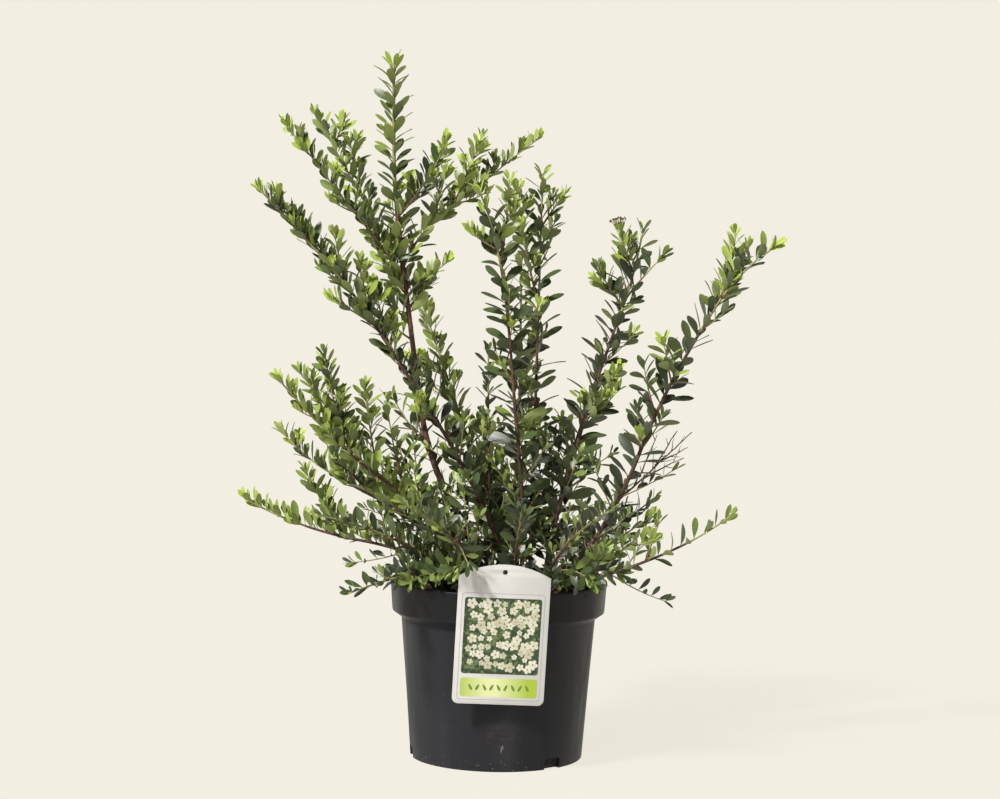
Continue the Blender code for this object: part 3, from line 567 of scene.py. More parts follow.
def black_plastic(settings):
    """Satin black plastic: painted shade on the band under the rim, dusty streaks, specks, a scuff and
    earth.
    """
    finish = Finish("black nursery plastic", settings.colour, 0.45, Specular_IOR_Level=0.18)
    streaks = finish.patches(26.0, 4.0, 0.42, 0.74, along=0.10)
    clouds = finish.patches(9.0, 3.0, 0.35, 0.75)
    coat = finish.over(settings.colour, settings.dust, streaks, clouds, 0.8)
    specks = finish.patches(900.0, 1.0, 0.72, 0.78)
    coat = finish.over(coat, linear((120, 118, 112)), specks, finish.patches(30.0, 2.0, 0.52, 0.70), 0.5)
    scuff = finish.near(SCUFF_PLACE, *SCUFF_SIZE, along=0.30)
    scratch = finish.patches(420.0, 2.0, 0.36, 0.56, along=0.25)
    coat = finish.over(coat, linear((140, 138, 132)), scuff, scratch)
    level = finish.axis("Z")
    # Painted shade: the band under the rim turns to this darker colour, where overhanging foliage would
    # shade it
    clean = [SHADED_BAND_SHARE * value for value in settings.colour]
    coat = finish.mix(finish.step(level, *SHADED_BAND_LEVELS, 0.0, 0.8), coat, clean)
    splashes = finish.patches(520.0, 2.0, 0.66, 0.74)
    low_down = finish.step(level, *SPLASH_LEVELS, 1.0, 0.0)
    coat = finish.over(coat, linear((150, 144, 132)), splashes, low_down)
    earth = finish.near(EARTH_PLACE, *EARTH_SIZE)
    marks = finish.product(finish.patches(160.0, 3.0, 0.52, 0.70, along=2.2), 0.3)
    finish.colour(finish.over(coat, linear((80, 58, 50)), earth, marks))
    finish.roughness(60.0, 4.0, 0.34, 0.56, along=0.2)
    finish.bump(finish.noise(240.0, 3.0, 0.12), 0.00012, 0.6)
    return finish.material


def peat(settings):
    """Crumbly peat, with painted shade that makes it nearly black low down in the pot."""
    finish = Finish("moist peat", settings.colour, 0.95)
    coat = finish.mix(finish.patches(420.0, 5.0, 0.35, 0.70), linear((36, 27, 21)), settings.colour)
    # Painted shade: the peat turns nearly black low down inside the pot, where it lies in the pot's shade
    depth = finish.step(finish.axis("Z"), *PEAT_SHADE_LEVELS)
    finish.colour(finish.mix(depth, linear((10, 9, 9)), coat))
    finish.bump(finish.noise(700.0, 5.0), 0.0006)
    return finish.material


def bark(name, colour):
    """Thin bark with paler flakes and darker cracks along the cane."""
    finish = Finish(name, colour, 0.72, Specular_IOR_Level=0.3)
    flakes = finish.patches(520.0, 4.0, 0.50, 0.66, along=0.35)
    coat = finish.over(colour, linear((126, 104, 86)), flakes, 0.55)
    cracks = finish.patches(900.0, 3.0, 0.56, 0.68, along=0.16)
    finish.colour(finish.over(coat, linear((36, 25, 21)), cracks, 0.75))
    finish.bump(finish.noise(1100.0, 4.0, 0.25), 0.0003)
    return finish.material


def dry_wood(settings):
    finish = Finish("dry wood", settings.dry, 0.85)
    grain = finish.patches(700.0, 3.0, 0.38, 0.68, along=0.3)
    finish.colour(finish.mix(grain, linear((84, 70, 56)), settings.dry))
    return finish.material


def leaf_finishes(settings):
    """Each tone's upper side and underside, plain colours with a soft sheen."""
    made = []
    for tone in TONES:
        upper = Finish(f"leaf {tone.name} upper side", linear(tone.upper), settings.roughness,
                       Specular_IOR_Level=0.5, Sheen_Weight=0.08)
        under = Finish(f"leaf {tone.name} underside", linear(tone.under), 0.62,
                       Specular_IOR_Level=0.3, Sheen_Weight=0.1)
        made.append((upper.material, under.material))
    return made


def card_white(settings):
    finish = Finish("white card", settings.white, 0.32)
    finish.colour(finish.mix(finish.patches(60.0, 3.0, 0.35, 0.75), settings.white,
                             linear((184, 183, 182))))
    finish.roughness(220.0, 3.0, 0.26, 0.42)
    return finish.material


def band_print(settings):
    """The lime band, paler towards its middle."""
    finish = Finish("lime print", settings.band, 0.34)
    across = finish.axis("X", shift=(-CARD_OFF, 0.0, 0.0))
    side = node_in(finish.tree, "ShaderNodeMath", {0: across}, operation="ABSOLUTE").outputs[0]
    finish.colour(finish.mix(finish.step(side, 0.004, 0.030), linear((204, 210, 156)), settings.band))
    return finish.material


def panel_print(settings):
    """The dark leafy ground of the label's picture."""
    finish = Finish("leafy print", settings.panel, 0.34)
    coat = finish.mix(finish.patches(150.0, 4.0, 0.40, 0.62), linear((38, 54, 32)), settings.panel)
    light = finish.patches(320.0, 3.0, 0.55, 0.70)
    finish.colour(finish.over(coat, linear((122, 146, 84)), light, 0.7))
    return finish.material


def plain_print(name, colour):
    finish = Finish(name, linear(colour), 0.36)
    mottle = finish.patches(500.0, 2.0, 0.35, 0.70)
    finish.colour(finish.mix(mottle, linear(colour), linear([0.9 * value for value in colour])))
    return finish.material


def link(name, mesh):
    made = bpy.data.objects.new(name, mesh)
    bpy.context.scene.collection.objects.link(made)
    return made


def plain_mesh(source):
    """What an object shows with its modifiers, or what a curve gives, with its place applied."""
    bpy.context.view_layer.update()
    graph = bpy.context.evaluated_depsgraph_get()
    mesh = bpy.data.meshes.new_from_object(source.evaluated_get(graph))
    mesh.transform(source.matrix_world)
    return mesh


def remove(*objects):
    for made in objects:
        bpy.data.objects.remove(made)


def mesh_from(name, places, faces, materials, indices=None, smooth=True):
    """A mesh from places, faces and one material index a face."""
    mesh = bpy.data.meshes.new(name)
    mesh.from_pydata([tuple(place) for place in places], [], faces)
    for made in materials:
        mesh.materials.append(made)
    if indices is not None:
        mesh.polygons.foreach_set("material_index", indices)
    if smooth:
        mesh.shade_smooth()
    mesh.validate()
    return mesh


def mesh_of(shape, name):
    """The mesh of a finished bmesh, which is freed."""
    mesh = bpy.data.meshes.new(name)
    shape.to_mesh(mesh)
    shape.free()
    return mesh


def painted(mesh, finish):
    """A mesh with one finish in place of what it had."""
    mesh.materials.clear()
    mesh.materials.append(finish)
    return mesh


def finish_piece(name, mesh, slot, *replaced):
    """Link a finished mesh as a piece of the plant's body."""
    made = link(name, mesh)
    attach(made, BODY)
    if replaced:
        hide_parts(*replaced)


def joined(target, cutter, operation):
    """The mesh of a Boolean of two objects, which are both removed."""
    step = target.modifiers.new("Shape", "BOOLEAN")
    step.operation = operation
    step.object = cutter
    mesh = plain_mesh(target)
    remove(target, cutter)
    return mesh


def held(value):
    """A value held between 0 and 1."""
    return min(1.0, max(0.0, value))


def spread(values, share):
    """The value at a share from 0 to 1 of a list of evenly spaced values."""
    place = share * (len(values) - 1)
    index = min(int(place), len(values) - 2)
    return values[index] + (values[index + 1] - values[index]) * (place - index)


def direction(heading, lean):
    """The unit vector of a heading and a lean in degrees."""
    turn, tip = math.radians(heading), math.radians(lean)
    return Vector((math.sin(tip) * math.cos(turn), math.sin(tip) * math.sin(turn), math.cos(tip)))


class Growth:
    """The line along which a cane or a shoot has grown."""

    def __init__(self, start, heading, leans, length):
        self.heading = heading
        self.leans = leans
        self.length = length
        self.points = [Vector(start)]
        for index in range(GROWTH_STEPS):
            way = direction(heading, spread(leans, (index + 0.5) / GROWTH_STEPS))
            self.points.append(self.points[-1] + way * (length / GROWTH_STEPS))

    def at(self, distance):
        """The point at a distance from the start."""
        place = held(distance / self.length) * GROWTH_STEPS
        index = min(int(place), GROWTH_STEPS - 1)
        return self.points[index].lerp(self.points[index + 1], place - index)

    def way(self, distance):
        """The direction of growth at a distance from the start."""
        return direction(self.heading, spread(self.leans, held(distance / self.length)))

    def across(self):
        """The level direction square to the line."""
        return direction(self.heading + 90.0, 90.0)


# A stem of the plant: its mass, its line, where its leaves start, its radii, its habit, its order
# and how high on its cane it leaves, from 0 to 1
Stem = namedtuple("Stem", "mass growth start foot_radius tip_radius habit order high", defaults=(1.0,))


def branch(growth, distance, turn, angle, lift, length, straightens):
    """The line of a twig that leaves another at an angle, turned round it."""
    way = growth.way(distance)
    out = Quaternion(way, math.radians(turn)) @ growth.across()
    tilt = math.radians(angle)
    aim = (way * math.cos(tilt) + out * math.sin(tilt) + UP * lift).normalized()
    heading = math.degrees(math.atan2(aim.y, aim.x))
    lean = math.degrees(math.acos(max(-1.0, min(1.0, aim.z))))
    return Growth(growth.at(distance), heading, (lean, straightens * lean), length)


def grow_stems():
    """The canes, the shoots that leave them and their side twigs, as the solids have them."""
    canes = []
    stems = []
    growths = {}
    for cane in CANES:
        foot = Vector((*cane.foot, SOIL_TOP + GAP))
        if (foot.xy - Vector(STEM_PLACE)).length < STEM_TOP_RADIUS:
            foot.z = SOIL_TOP + STEM_HEIGHT + 2.0 * GAP
        growth = Growth(foot + UP * FLAT_CUT, cane.heading, cane.leans, cane.length)
        growths[cane.name] = growth
        tip = cane.radius * (1.0 - CANE_TAPER)
        stem = Stem(cane.name, growth, cane.bare, cane.radius, tip, HABITS[cane.habit], 0)
        canes.append((cane, foot, stem))
        stems.append(stem)
    for shoot in SHOOTS + FINE_SHOOTS:
        growth = Growth(growths[shoot.cane].at(shoot.at), shoot.heading, shoot.leans, shoot.length)
        mass = shoot.name or shoot.cane
        growths.setdefault(mass, growth)
        radius = BRANCH_RADIUS if shoot.name else SHOOT_RADIUS
        high = FINE_HIGH if shoot in FINE_SHOOTS else 1.0
        stems.append(Stem(mass, growth, SHOOT_BARE, radius, TIP_RADIUS, HABITS[shoot.habit], 1, high))
    for stem in list(stems):
        if stem.growth is growths[stem.mass]:
            stems.extend(side_twigs(stem))
    return canes, stems


def twigs_along(stem, rule, habit, first, last, chance):
    """A rule's twigs from first to last along a stem, in a spiral round it."""
    growth = stem.growth
    made = []
    distance = first + chance.uniform(*rule.begins) * rule.every
    turn = chance.uniform(0.0, 360.0)
    while distance < last:
        share = distance / growth.length
        length = chance.uniform(*rule.lengths) * (1.0 - rule.shortens * share)
        least, most = rule.angles
        angle = chance.uniform(least, most) if least < most else least
        line = branch(growth, distance, turn, angle, rule.lift, length, rule.straightens)
        high = 1.0
        if rule.fades:
            high = stem.high * (0.5 + 0.5 * share) if stem.order else share
        made.append(Stem(stem.mass, line, rule.bare, rule.radius, TIP_RADIUS, habit, rule.order, high))
        distance += rule.every * chance.uniform(*rule.varies)
        turn += GOLDEN_TURN
    return made


def side_twigs(stem):
    """The side twigs of a mass's own stem by the seeded rule, half as long on the leader."""
    chance = random.Random(SEED + sum(map(ord, f"leaves_{stem.mass}")))
    rule = SIDE_TWIGS
    habit = stem.habit
    if habit is HABITS["leader"]:
        rule = rule._replace(lengths=[0.5 * length for length in rule.lengths])
        habit = HABITS["bushy"]
    start = 0.0 if stem.order else stem.start
    first = max(start + SIDE_OFF_START, stem.growth.length * SIDE_FROM)
    return twigs_along(stem, rule, habit, first, stem.growth.length - SIDE_OFF_TIP, chance)


def spurs(stem, chance):
    """The short leafy spurs of a stem, closer together where its habit is bushy."""
    habit = stem.habit
    first = stem.start
    last = stem.growth.length - 0.5 * sum(habit.spur_sizes)
    if habit is HABITS["leader"]:
        habit = HABITS["bushy"]
        first, last = LEADER_SPURS
    if stem.order > 2 or not habit.spurs:
        return []
    rule = SPURS._replace(every=habit.spurs, lengths=habit.spur_sizes)
    return twigs_along(stem, rule, habit, first, last, chance)


def inner_twigs(stem, chance):
    """The thin leafy twigs low on a cane, where the solids leave it bare."""
    if stem.order or stem.mass == "tall_left":
        return []
    last = min(stem.start + INNER_PAST_BARE, INNER_TOP)
    return twigs_along(stem, INNER_TWIGS, HABITS["inner"], INNER_FROM, last, chance)


# A leaf: its foot, its turn as a matrix, its size, its tone and its form
Leaf = namedtuple("Leaf", "place turn size tone form")


class Keeping:
    """The pot, soil and label, which no leaf may enter, and the room kept round them."""

    over_soil = 0.0005
    inside_rim = 0.0035
    outside_rim = 0.0012
    over_rim = 0.001
    round_card = 0.002
    over_card = 0.001
    behind_card = 0.0015
    # Leaves may lie before the label left of and above this place
    shoulder = (-0.012, -0.010)

    def __init__(self):
        self.card = label_place().inverted()

    def clear(self, place):
        """Whether a point lies in free air, and before the label only over its left shoulder."""
        radius = place.xy.length
        inner = RIM_RADIUS - self.inside_rim
        if place.z < SOIL_TOP + self.over_soil and radius < BAND_FOOT_RADIUS:
            return False
        if place.z < POT_HEIGHT + self.over_rim and inner < radius < RIM_RADIUS + self.outside_rim:
            return False
        if place.z < POT_HEIGHT and radius < RIM_RADIUS:
            return radius < inner
        x, y, z = self.card @ place
        beside = abs(x) > CARD_WIDTH / 2.0 + self.round_card
        above = y > CARD_ARCH + self.over_card
        below = y < -CARD_SIDE_HEIGHT - self.round_card
        over_shoulder = z > self.round_card and x < self.shoulder[0] and y > self.shoulder[1]
        return beside or above or below or over_shoulder or z < -self.behind_card


def leaf_on(place, axis, face, size, tone, chance, keeping):
    """One leaf, or None where it would enter the pot, the soil or the label."""
    for share in (0.25, 0.6, 1.0):
        if not keeping.clear(place + axis * share * size):
            return None
    side = face.cross(axis).normalized()
    face = axis.cross(side).normalized()
    turn = Matrix((side, face, axis)).transposed()
    return Leaf(place, turn, size, tone, chance.randrange(LEAF_FORMS))


def stem_radius(stem, distance):
    return stem.foot_radius + (stem.tip_radius - stem.foot_radius) * distance / stem.growth.length


def leafy_end(stem):
    """Where a stem's tube and leaves end, just short of its line's tip."""
    return stem.growth.length - (TIP_SET_BACK if stem.order < 2 else 0.5 * TIP_SET_BACK)


def tube_along(stem, start, end, step):
    """The points and radii of a stem from start to end."""
    distances = stretch(start, end, step)
    points = [stem.growth.at(distance) for distance in distances]
    return points, [stem_radius(stem, distance) for distance in distances]


def leaves_on(stem, start, chance, keeping):
    """A spiral of leaves along a stem, with a rosette at its tip."""
    growth = stem.growth
    habit = stem.habit
    made = []
    base = chance.choices((0, 1, 2, 3), habit.tones)[0]
    fresh = chance.random() < habit.fresh * (0.5 * stem.high ** 2 if stem.order == 3 else stem.high)
    distance = start + chance.uniform(0.3, 1.0) * habit.spacing
    turn = chance.uniform(0.0, 360.0)
    short = (1.0, 0.95, 0.85, 0.80)[stem.order]
    end = leafy_end(stem)
    while distance < end:
        here = distance
        left = end - here
        near_tip = max(0.0, 1.0 - left / TIP_REACH)
        share = here / growth.length
        if stem.order:
            share = 0.35 + 0.65 * share
        way = growth.way(here)
        out = Quaternion(way, math.radians(turn + chance.uniform(-12.0, 12.0))) @ growth.across()
        turn += GOLDEN_TURN
        closer = (1.0 - 0.25 * share) * (1.0 - TIP_CLOSER * near_tip)
        distance += habit.spacing * closer * chance.uniform(0.8, 1.2)
        if chance.random() < -habit.bare * out.z * (1.0 - near_tip):
            continue
        splay = habit.splay_low + (habit.splay_tip - habit.splay_low) * share
        splay = splay * (1.0 - TIP_STRAIGHTER * near_tip) + chance.uniform(-9.0, 9.0)
        angle = math.radians(splay)
        axis = way * math.cos(angle) + out * math.sin(angle)
        leaning = math.sqrt(max(0.0, 1.0 - way.z * way.z))
        axis = (axis + UP * habit.lift * leaning).normalized()
        size = habit.leaf_low + (habit.leaf_tip - habit.leaf_low) * share ** 1.3
        size *= short * (1.0 - TIP_SMALLER * near_tip) * chance.uniform(0.82, 1.12)
        roll = math.radians(chance.gauss(0.0, 30.0))
        face = Quaternion(axis, roll) @ (way + UP * 0.35 + FRONT * chance.uniform(0.0, 0.7))
        tone = min(3, max(0, base + chance.choice((-1, 0, 0, 0, 1))))
        if fresh and left < TIP_TONE:
            tone = 5
        elif fresh and left < LIME_TONE:
            tone = 4
        elif left < FRESHER_TONE:
            tone = min(3, tone + 1)
        off = (axis - way * axis.dot(way)).normalized() * 0.7 * stem_radius(stem, here)
        leaf = leaf_on(growth.at(here) + off, axis, face, size, tone, chance, keeping)
        if leaf:
            made.append(leaf)
    return made


@lru_cache(maxsize=1)
def plant():
    """The whole plant: its canes, and each mass's stems and leaves."""
    keeping = Keeping()
    canes, stems = grow_stems()
    masses = {}
    for stem in stems:
        mass = masses.setdefault(stem.mass, {"stems": [], "leaves": []})
        mass["stems"].append(stem)
    for name, mass in masses.items():
        chance = random.Random(f"{name} {SEED}")
        for stem in list(mass["stems"]):
            mass["stems"].extend(spurs(stem, chance) + inner_twigs(stem, chance))
        kept = []
        for stem in mass["stems"]:
            if stem.order and not keeping.clear(stem.growth.points[-1]):
                continue
            kept.append(stem)
            start = stem.start
            if stem.order == 0:
                start *= LEADER_LEAVES_FROM if name == "tall_left" else LEAVES_FROM
            mass["leaves"].extend(leaves_on(stem, start, chance, keeping))
        mass["stems"] = kept
    return canes, masses


def rings(points, radii, sides):
    """Rings of places round a line, carried along it without a twist."""
    points = [Vector(point) for point in points]
    ways = []
    for index in range(len(points)):
        before = points[max(index - 1, 0)]
        after = points[min(index + 1, len(points) - 1)]
        ways.append((after - before).normalized())
    side = ways[0].orthogonal().normalized()
    made = []
    for point, way, radius in zip(points, ways, radii):
        side = (side - way * side.dot(way)).normalized()
        other = way.cross(side)
        ring = []
        for index in range(sides):
            angle = 2.0 * math.pi * index / sides
            ring.append(point + (side * math.cos(angle) + other * math.sin(angle)) * radius)
        made.append(ring)
    return made


def ring_faces(count, sides, first=0):
    """The faces between rings of places that follow each other."""
    faces = []
    for low in range(first, first + (count - 1) * sides, sides):
        for index in range(sides):
            after = (index + 1) % sides
            faces.append((low + index, low + after, low + sides + after, low + sides + index))
    return faces


def tube_faces(count, sides, first=0):
    """The faces of a closed tube of rings, whose caps are single faces."""
    last = first + (count - 1) * sides
    foot = tuple(first + index for index in reversed(range(sides)))
    return [foot, *ring_faces(count, sides, first), tuple(last + index for index in range(sides))]


def circle(radius, height, steps):
    """Places round the pot's axis."""
    turns = [2.0 * math.pi * step / steps for step in range(steps)]
    return [Vector((radius * math.cos(turn), radius * math.sin(turn), height)) for turn in turns]


class Tubes:
    """Many tapering tubes, gathered into one mesh."""

    def __init__(self):
        self.places = []
        self.faces = []
        self.indices = []

    def add(self, points, radii, sides, material=0):
        made = rings(points, radii, sides)
        first = len(self.places)
        for ring in made:
            self.places.extend(ring)
        faces = tube_faces(len(made), sides, first)
        self.faces.extend(faces)
        self.indices.extend([material] * len(faces))

    def mesh(self, name, materials):
        return mesh_from(name, self.places, self.faces, materials, self.indices)


def stretch(start, end, step):
    """Even distances from start to end, about a step apart."""
    count = max(1, round((end - start) / step))
    return [start + (end - start) * index / count for index in range(count + 1)]


def bark_mesh(name, points, radii, settings, finish):
    """A cane with its bark's ridges and the scars of old buds."""
    sides = settings.sides
    made = rings(points, radii, sides)
    seed = sum(map(ord, name))
    places = []
    for level, (ring, point, radius) in enumerate(zip(made, points, radii)):
        scar = (level * settings.step) % SCAR_EVERY
        scar_side = int(level * settings.step / SCAR_EVERY * GOLDEN_TURN / 360.0 * sides) % sides
        for index, place in enumerate(ring):
            off = place - point
            ridge = noise.noise(off * 900.0 + point * 60.0 + Vector((seed, 0.0, 0.0)))
            swell = 1.0 + settings.relief * ridge
            if scar < SCAR_LENGTH and index in (scar_side, (scar_side + 1) % sides):
                swell += SCAR_SWELL * (1.0 - abs(scar - SCAR_LENGTH / 2.0) / (SCAR_LENGTH / 2.0))
            places.append(point + off * swell)
    return mesh_from(name, places, tube_faces(len(made), sides), [finish])


def label_place():
    """The matrix that puts the label's own plane in front of the pot's rim."""
    shoulder = CARD_TOP - CARD_ARCH
    rim_front = -RIM_RADIUS - GAP - CARD_THICK / 2.0
    lean_back = (shoulder - POT_HEIGHT) * math.tan(math.radians(CARD_PITCH))
    pitch = Matrix.Rotation(math.radians(90.0 + CARD_PITCH), 4, "X")
    roll = Matrix.Rotation(math.radians(CARD_ROLL), 4, "Y")
    place = Matrix.Translation((CARD_OFF, rim_front - lean_back, shoulder))
    turn = Matrix.Rotation(math.radians(LABEL_TURN), 4, "Z")
    return turn @ place @ roll @ pitch


def flat_solid(name, outlines, thick, place=Matrix(), bevel=0.0, weld=1e-6):
    """The mesh of closed flat outlines, as thick as given, or a flat sheet, put in its place."""
    curve = bpy.data.curves.new(name, "CURVE")
    curve.dimensions = "2D"
    curve.fill_mode = "BOTH" if thick else "FRONT"
    curve.extrude = thick / 2.0 - bevel
    curve.bevel_depth = bevel
    curve.bevel_resolution = 1
    for outline in outlines:
        line = curve.splines.new("POLY")
        line.points.add(len(outline) - 1)
        line.use_cyclic_u = True
        for control, (x, y) in zip(line.points, outline):
            control.co = (x, y, 0.0, 1.0)
    shape = link(name, curve)
    shape.matrix_world = place
    mesh = plain_mesh(shape)
    remove(shape)
    return welded(mesh, weld) if thick else mesh


def arc(centre, radius, start, end, steps):
    """Points of an arc, both ends included, from one angle to another in degrees."""
    made = []
    for index in range(steps + 1):
        angle = math.radians(start + (end - start) * index / steps)
        made.append((centre[0] + radius * math.cos(angle), centre[1] + radius * math.sin(angle)))
    return made


def card_outline():
    """The card's outline: round foot corners and an arched head."""
    half = CARD_WIDTH / 2.0
    side = half - CARD_CORNER
    foot = -CARD_SIDE_HEIGHT + CARD_CORNER
    made = arc((-side, foot), CARD_CORNER, 180.0, 270.0, 6)
    made += arc((side, foot), CARD_CORNER, 270.0, 360.0, 6)
    for step in range(25):
        share = 1.0 - step / 12.0
        made.append((half * share, CARD_ARCH * (1.0 - share * share)))
    return made


def round_box(low, high, corner):
    """The outline of a box with round corners."""
    made = arc((low[0] + corner, low[1] + corner), corner, 180.0, 270.0, 5)
    made += arc((high[0] - corner, low[1] + corner), corner, 270.0, 360.0, 5)
    made += arc((high[0] - corner, high[1] - corner), corner, 0.0, 90.0, 5)
    made += arc((low[0] + corner, high[1] - corner), corner, 90.0, 180.0, 5)
    return made


def welded(mesh, distance):
    """Merge a curve's loose caps and turn the faces outwards."""
    shape = bmesh.new()
    shape.from_mesh(mesh)
    bmesh.ops.remove_doubles(shape, verts=shape.verts, dist=distance)
    bmesh.ops.recalc_face_normals(shape, faces=shape.faces)
    shape.to_mesh(mesh)
    shape.free()
    return mesh


def sharp_shading(mesh, angle):
    mesh.shade_smooth()
    mesh.set_sharp_from_angle(angle=math.radians(angle))


def scatter_tree():
    """Geometry Nodes that scatter small things over a surface, each turned and sized by chance.

    The things bring their own materials.
    """
    tree = bpy.data.node_groups.new("Scatter over a surface", "GeometryNodeTree")
    face = tree.interface
    face.new_socket("Geometry", in_out="OUTPUT", socket_type="NodeSocketGeometry")
    for name, kind, value in (
            ("Geometry", "Geometry", None), ("Things", "Collection", None), ("Density", "Float", 1000.0),
            ("Apart", "Float", 0.001), ("Smallest", "Float", 0.5), ("Largest", "Float", 1.0),
            ("Tumble", "Float", 0.6), ("Seed", "Int", 1)):
        socket = face.new_socket(name, in_out="INPUT", socket_type=f"NodeSocket{kind}")
        if value is not None:
            socket.default_value = value
    given = tree.nodes.new("NodeGroupInput").outputs
    points = node_in(tree, "GeometryNodeDistributePointsOnFaces",
                     {"Mesh": given["Geometry"], "Distance Min": given["Apart"],
                      "Density Max": given["Density"], "Seed": given["Seed"]},
                     distribute_method="POISSON")
    things = node_in(tree, "GeometryNodeCollectionInfo",
                     {"Collection": given["Things"], "Separate Children": True, "Reset Children": True})
    spin = node_in(tree, "FunctionNodeRandomValue", {"Seed": given["Seed"]}, data_type="FLOAT_VECTOR")
    spin.inputs[0].default_value = (-1.0, -1.0, -math.pi)
    spin.inputs[1].default_value = (1.0, 1.0, math.pi)
    tumble = node_in(tree, "ShaderNodeCombineXYZ", {"X": given["Tumble"], "Y": given["Tumble"], "Z": 1.0})
    turn = node_in(tree, "ShaderNodeVectorMath", {0: spin.outputs[0], 1: tumble.outputs[0]},
                   operation="MULTIPLY")
    local = node_in(tree, "FunctionNodeEulerToRotation", {0: turn.outputs[0]})
    rotation = node_in(tree, "FunctionNodeRotateRotation",
                       {"Rotation": points.outputs["Rotation"], "Rotate By": local.outputs[0]},
                       rotation_space="LOCAL")
    size = node_in(tree, "FunctionNodeRandomValue", {"Seed": given["Seed"]}, data_type="FLOAT")
    tree.links.new(given["Smallest"], size.inputs[2])
    tree.links.new(given["Largest"], size.inputs[3])
    placed = node_in(tree, "GeometryNodeInstanceOnPoints",
                     {"Points": points.outputs["Points"], "Instance": things.outputs[0],
                      "Pick Instance": True, "Rotation": rotation.outputs[0], "Scale": size.outputs[1]})
    real = node_in(tree, "GeometryNodeRealizeInstances", {"Geometry": placed.outputs["Instances"]})
    out = tree.nodes.new("NodeGroupOutput")
    tree.links.new(real.outputs["Geometry"], out.inputs["Geometry"])
    return tree


def foliage_tree(finishes):
    """Geometry Nodes that set a leaf on each point, by the point's own turn, size and form."""
    tree = bpy.data.node_groups.new("Leaves on twigs", "GeometryNodeTree")
    face = tree.interface
    face.new_socket("Geometry", in_out="OUTPUT", socket_type="NodeSocketGeometry")
    face.new_socket("Geometry", in_out="INPUT", socket_type="NodeSocketGeometry")
    face.new_socket("Leaves", in_out="INPUT", socket_type="NodeSocketCollection")
    face.new_socket("Size", in_out="INPUT", socket_type="NodeSocketFloat").default_value = 1.0
    given = tree.nodes.new("NodeGroupInput").outputs

    def named(name, kind):
        return node_in(tree, "GeometryNodeInputNamedAttribute", {"Name": name}, data_type=kind).outputs[0]

    forms = node_in(tree, "GeometryNodeCollectionInfo",
                    {"Collection": given["Leaves"], "Separate Children": True, "Reset Children": True})
    turn = node_in(tree, "FunctionNodeEulerToRotation", {0: named("turn", "FLOAT_VECTOR")})
    size = node_in(tree, "ShaderNodeVectorMath", {0: named("size", "FLOAT_VECTOR")}, operation="SCALE")
    tree.links.new(given["Size"], size.inputs["Scale"])
    placed = node_in(tree, "GeometryNodeInstanceOnPoints",
                     {"Points": given["Geometry"], "Instance": forms.outputs[0], "Pick Instance": True,
                      "Instance Index": named("form", "INT"), "Rotation": turn.outputs[0],
                      "Scale": size.outputs[0]})
    real = node_in(tree, "GeometryNodeRealizeInstances", {"Geometry": placed.outputs["Instances"]})
    last = real.outputs["Geometry"]
    tone = named("tone", "INT")
    under = named("underside", "BOOLEAN")
    for index, pair in enumerate(finishes):
        is_tone = node_in(tree, "FunctionNodeCompare", data_type="INT", operation="EQUAL")
        tree.links.new(tone, is_tone.inputs[2])
        is_tone.inputs[3].default_value = index
        for material, operation in zip(pair, ("NIMPLY", "AND")):
            chosen = node_in(tree, "FunctionNodeBooleanMath", {0: is_tone.outputs[0], 1: under},
                             operation=operation)
            coated = node_in(tree, "GeometryNodeSetMaterial",
                             {"Geometry": last, "Selection": chosen.outputs[0], "Material": material})
            last = coated.outputs["Geometry"]
    out = tree.nodes.new("NodeGroupOutput")
    tree.links.new(last, out.inputs["Geometry"])
    return tree


def run_tree(target, tree, inputs):
    """The plain mesh that a tree makes of an object, which is removed."""
    step = target.modifiers.new(tree.name, "NODES")
    step.node_group = tree
    for item in tree.interface.items_tree:
        if item.in_out == "INPUT" and item.name in inputs:
            step[item.identifier] = inputs[item.name]
    mesh = plain_mesh(target)
    remove(target)
    for name in ("turn", "size", "form", "tone", "underside"):
        if name in mesh.attributes:
            mesh.attributes.remove(mesh.attributes[name])
    return mesh


def hidden_collection(name, meshes):
    """A collection of objects that only a tree uses."""
    home = bpy.data.collections.new(name)
    for index, mesh in enumerate(meshes):
        home.objects.link(bpy.data.objects.new(f"{name} {index + 1}", mesh))
    return home


def discard(home):
    for made in list(home.objects):
        bpy.data.objects.remove(made)
    bpy.data.collections.remove(home)


# Rows of a leaf: how far along it, and its width as a share of the greatest
LEAF_ROWS = (
    (0.0, 0.08), (0.09, 0.14), (0.27, 0.56), (0.47, 0.90), (0.66, 1.0), (0.82, 0.84), (0.94, 0.44))
LEAF_GROOVE = 0.006


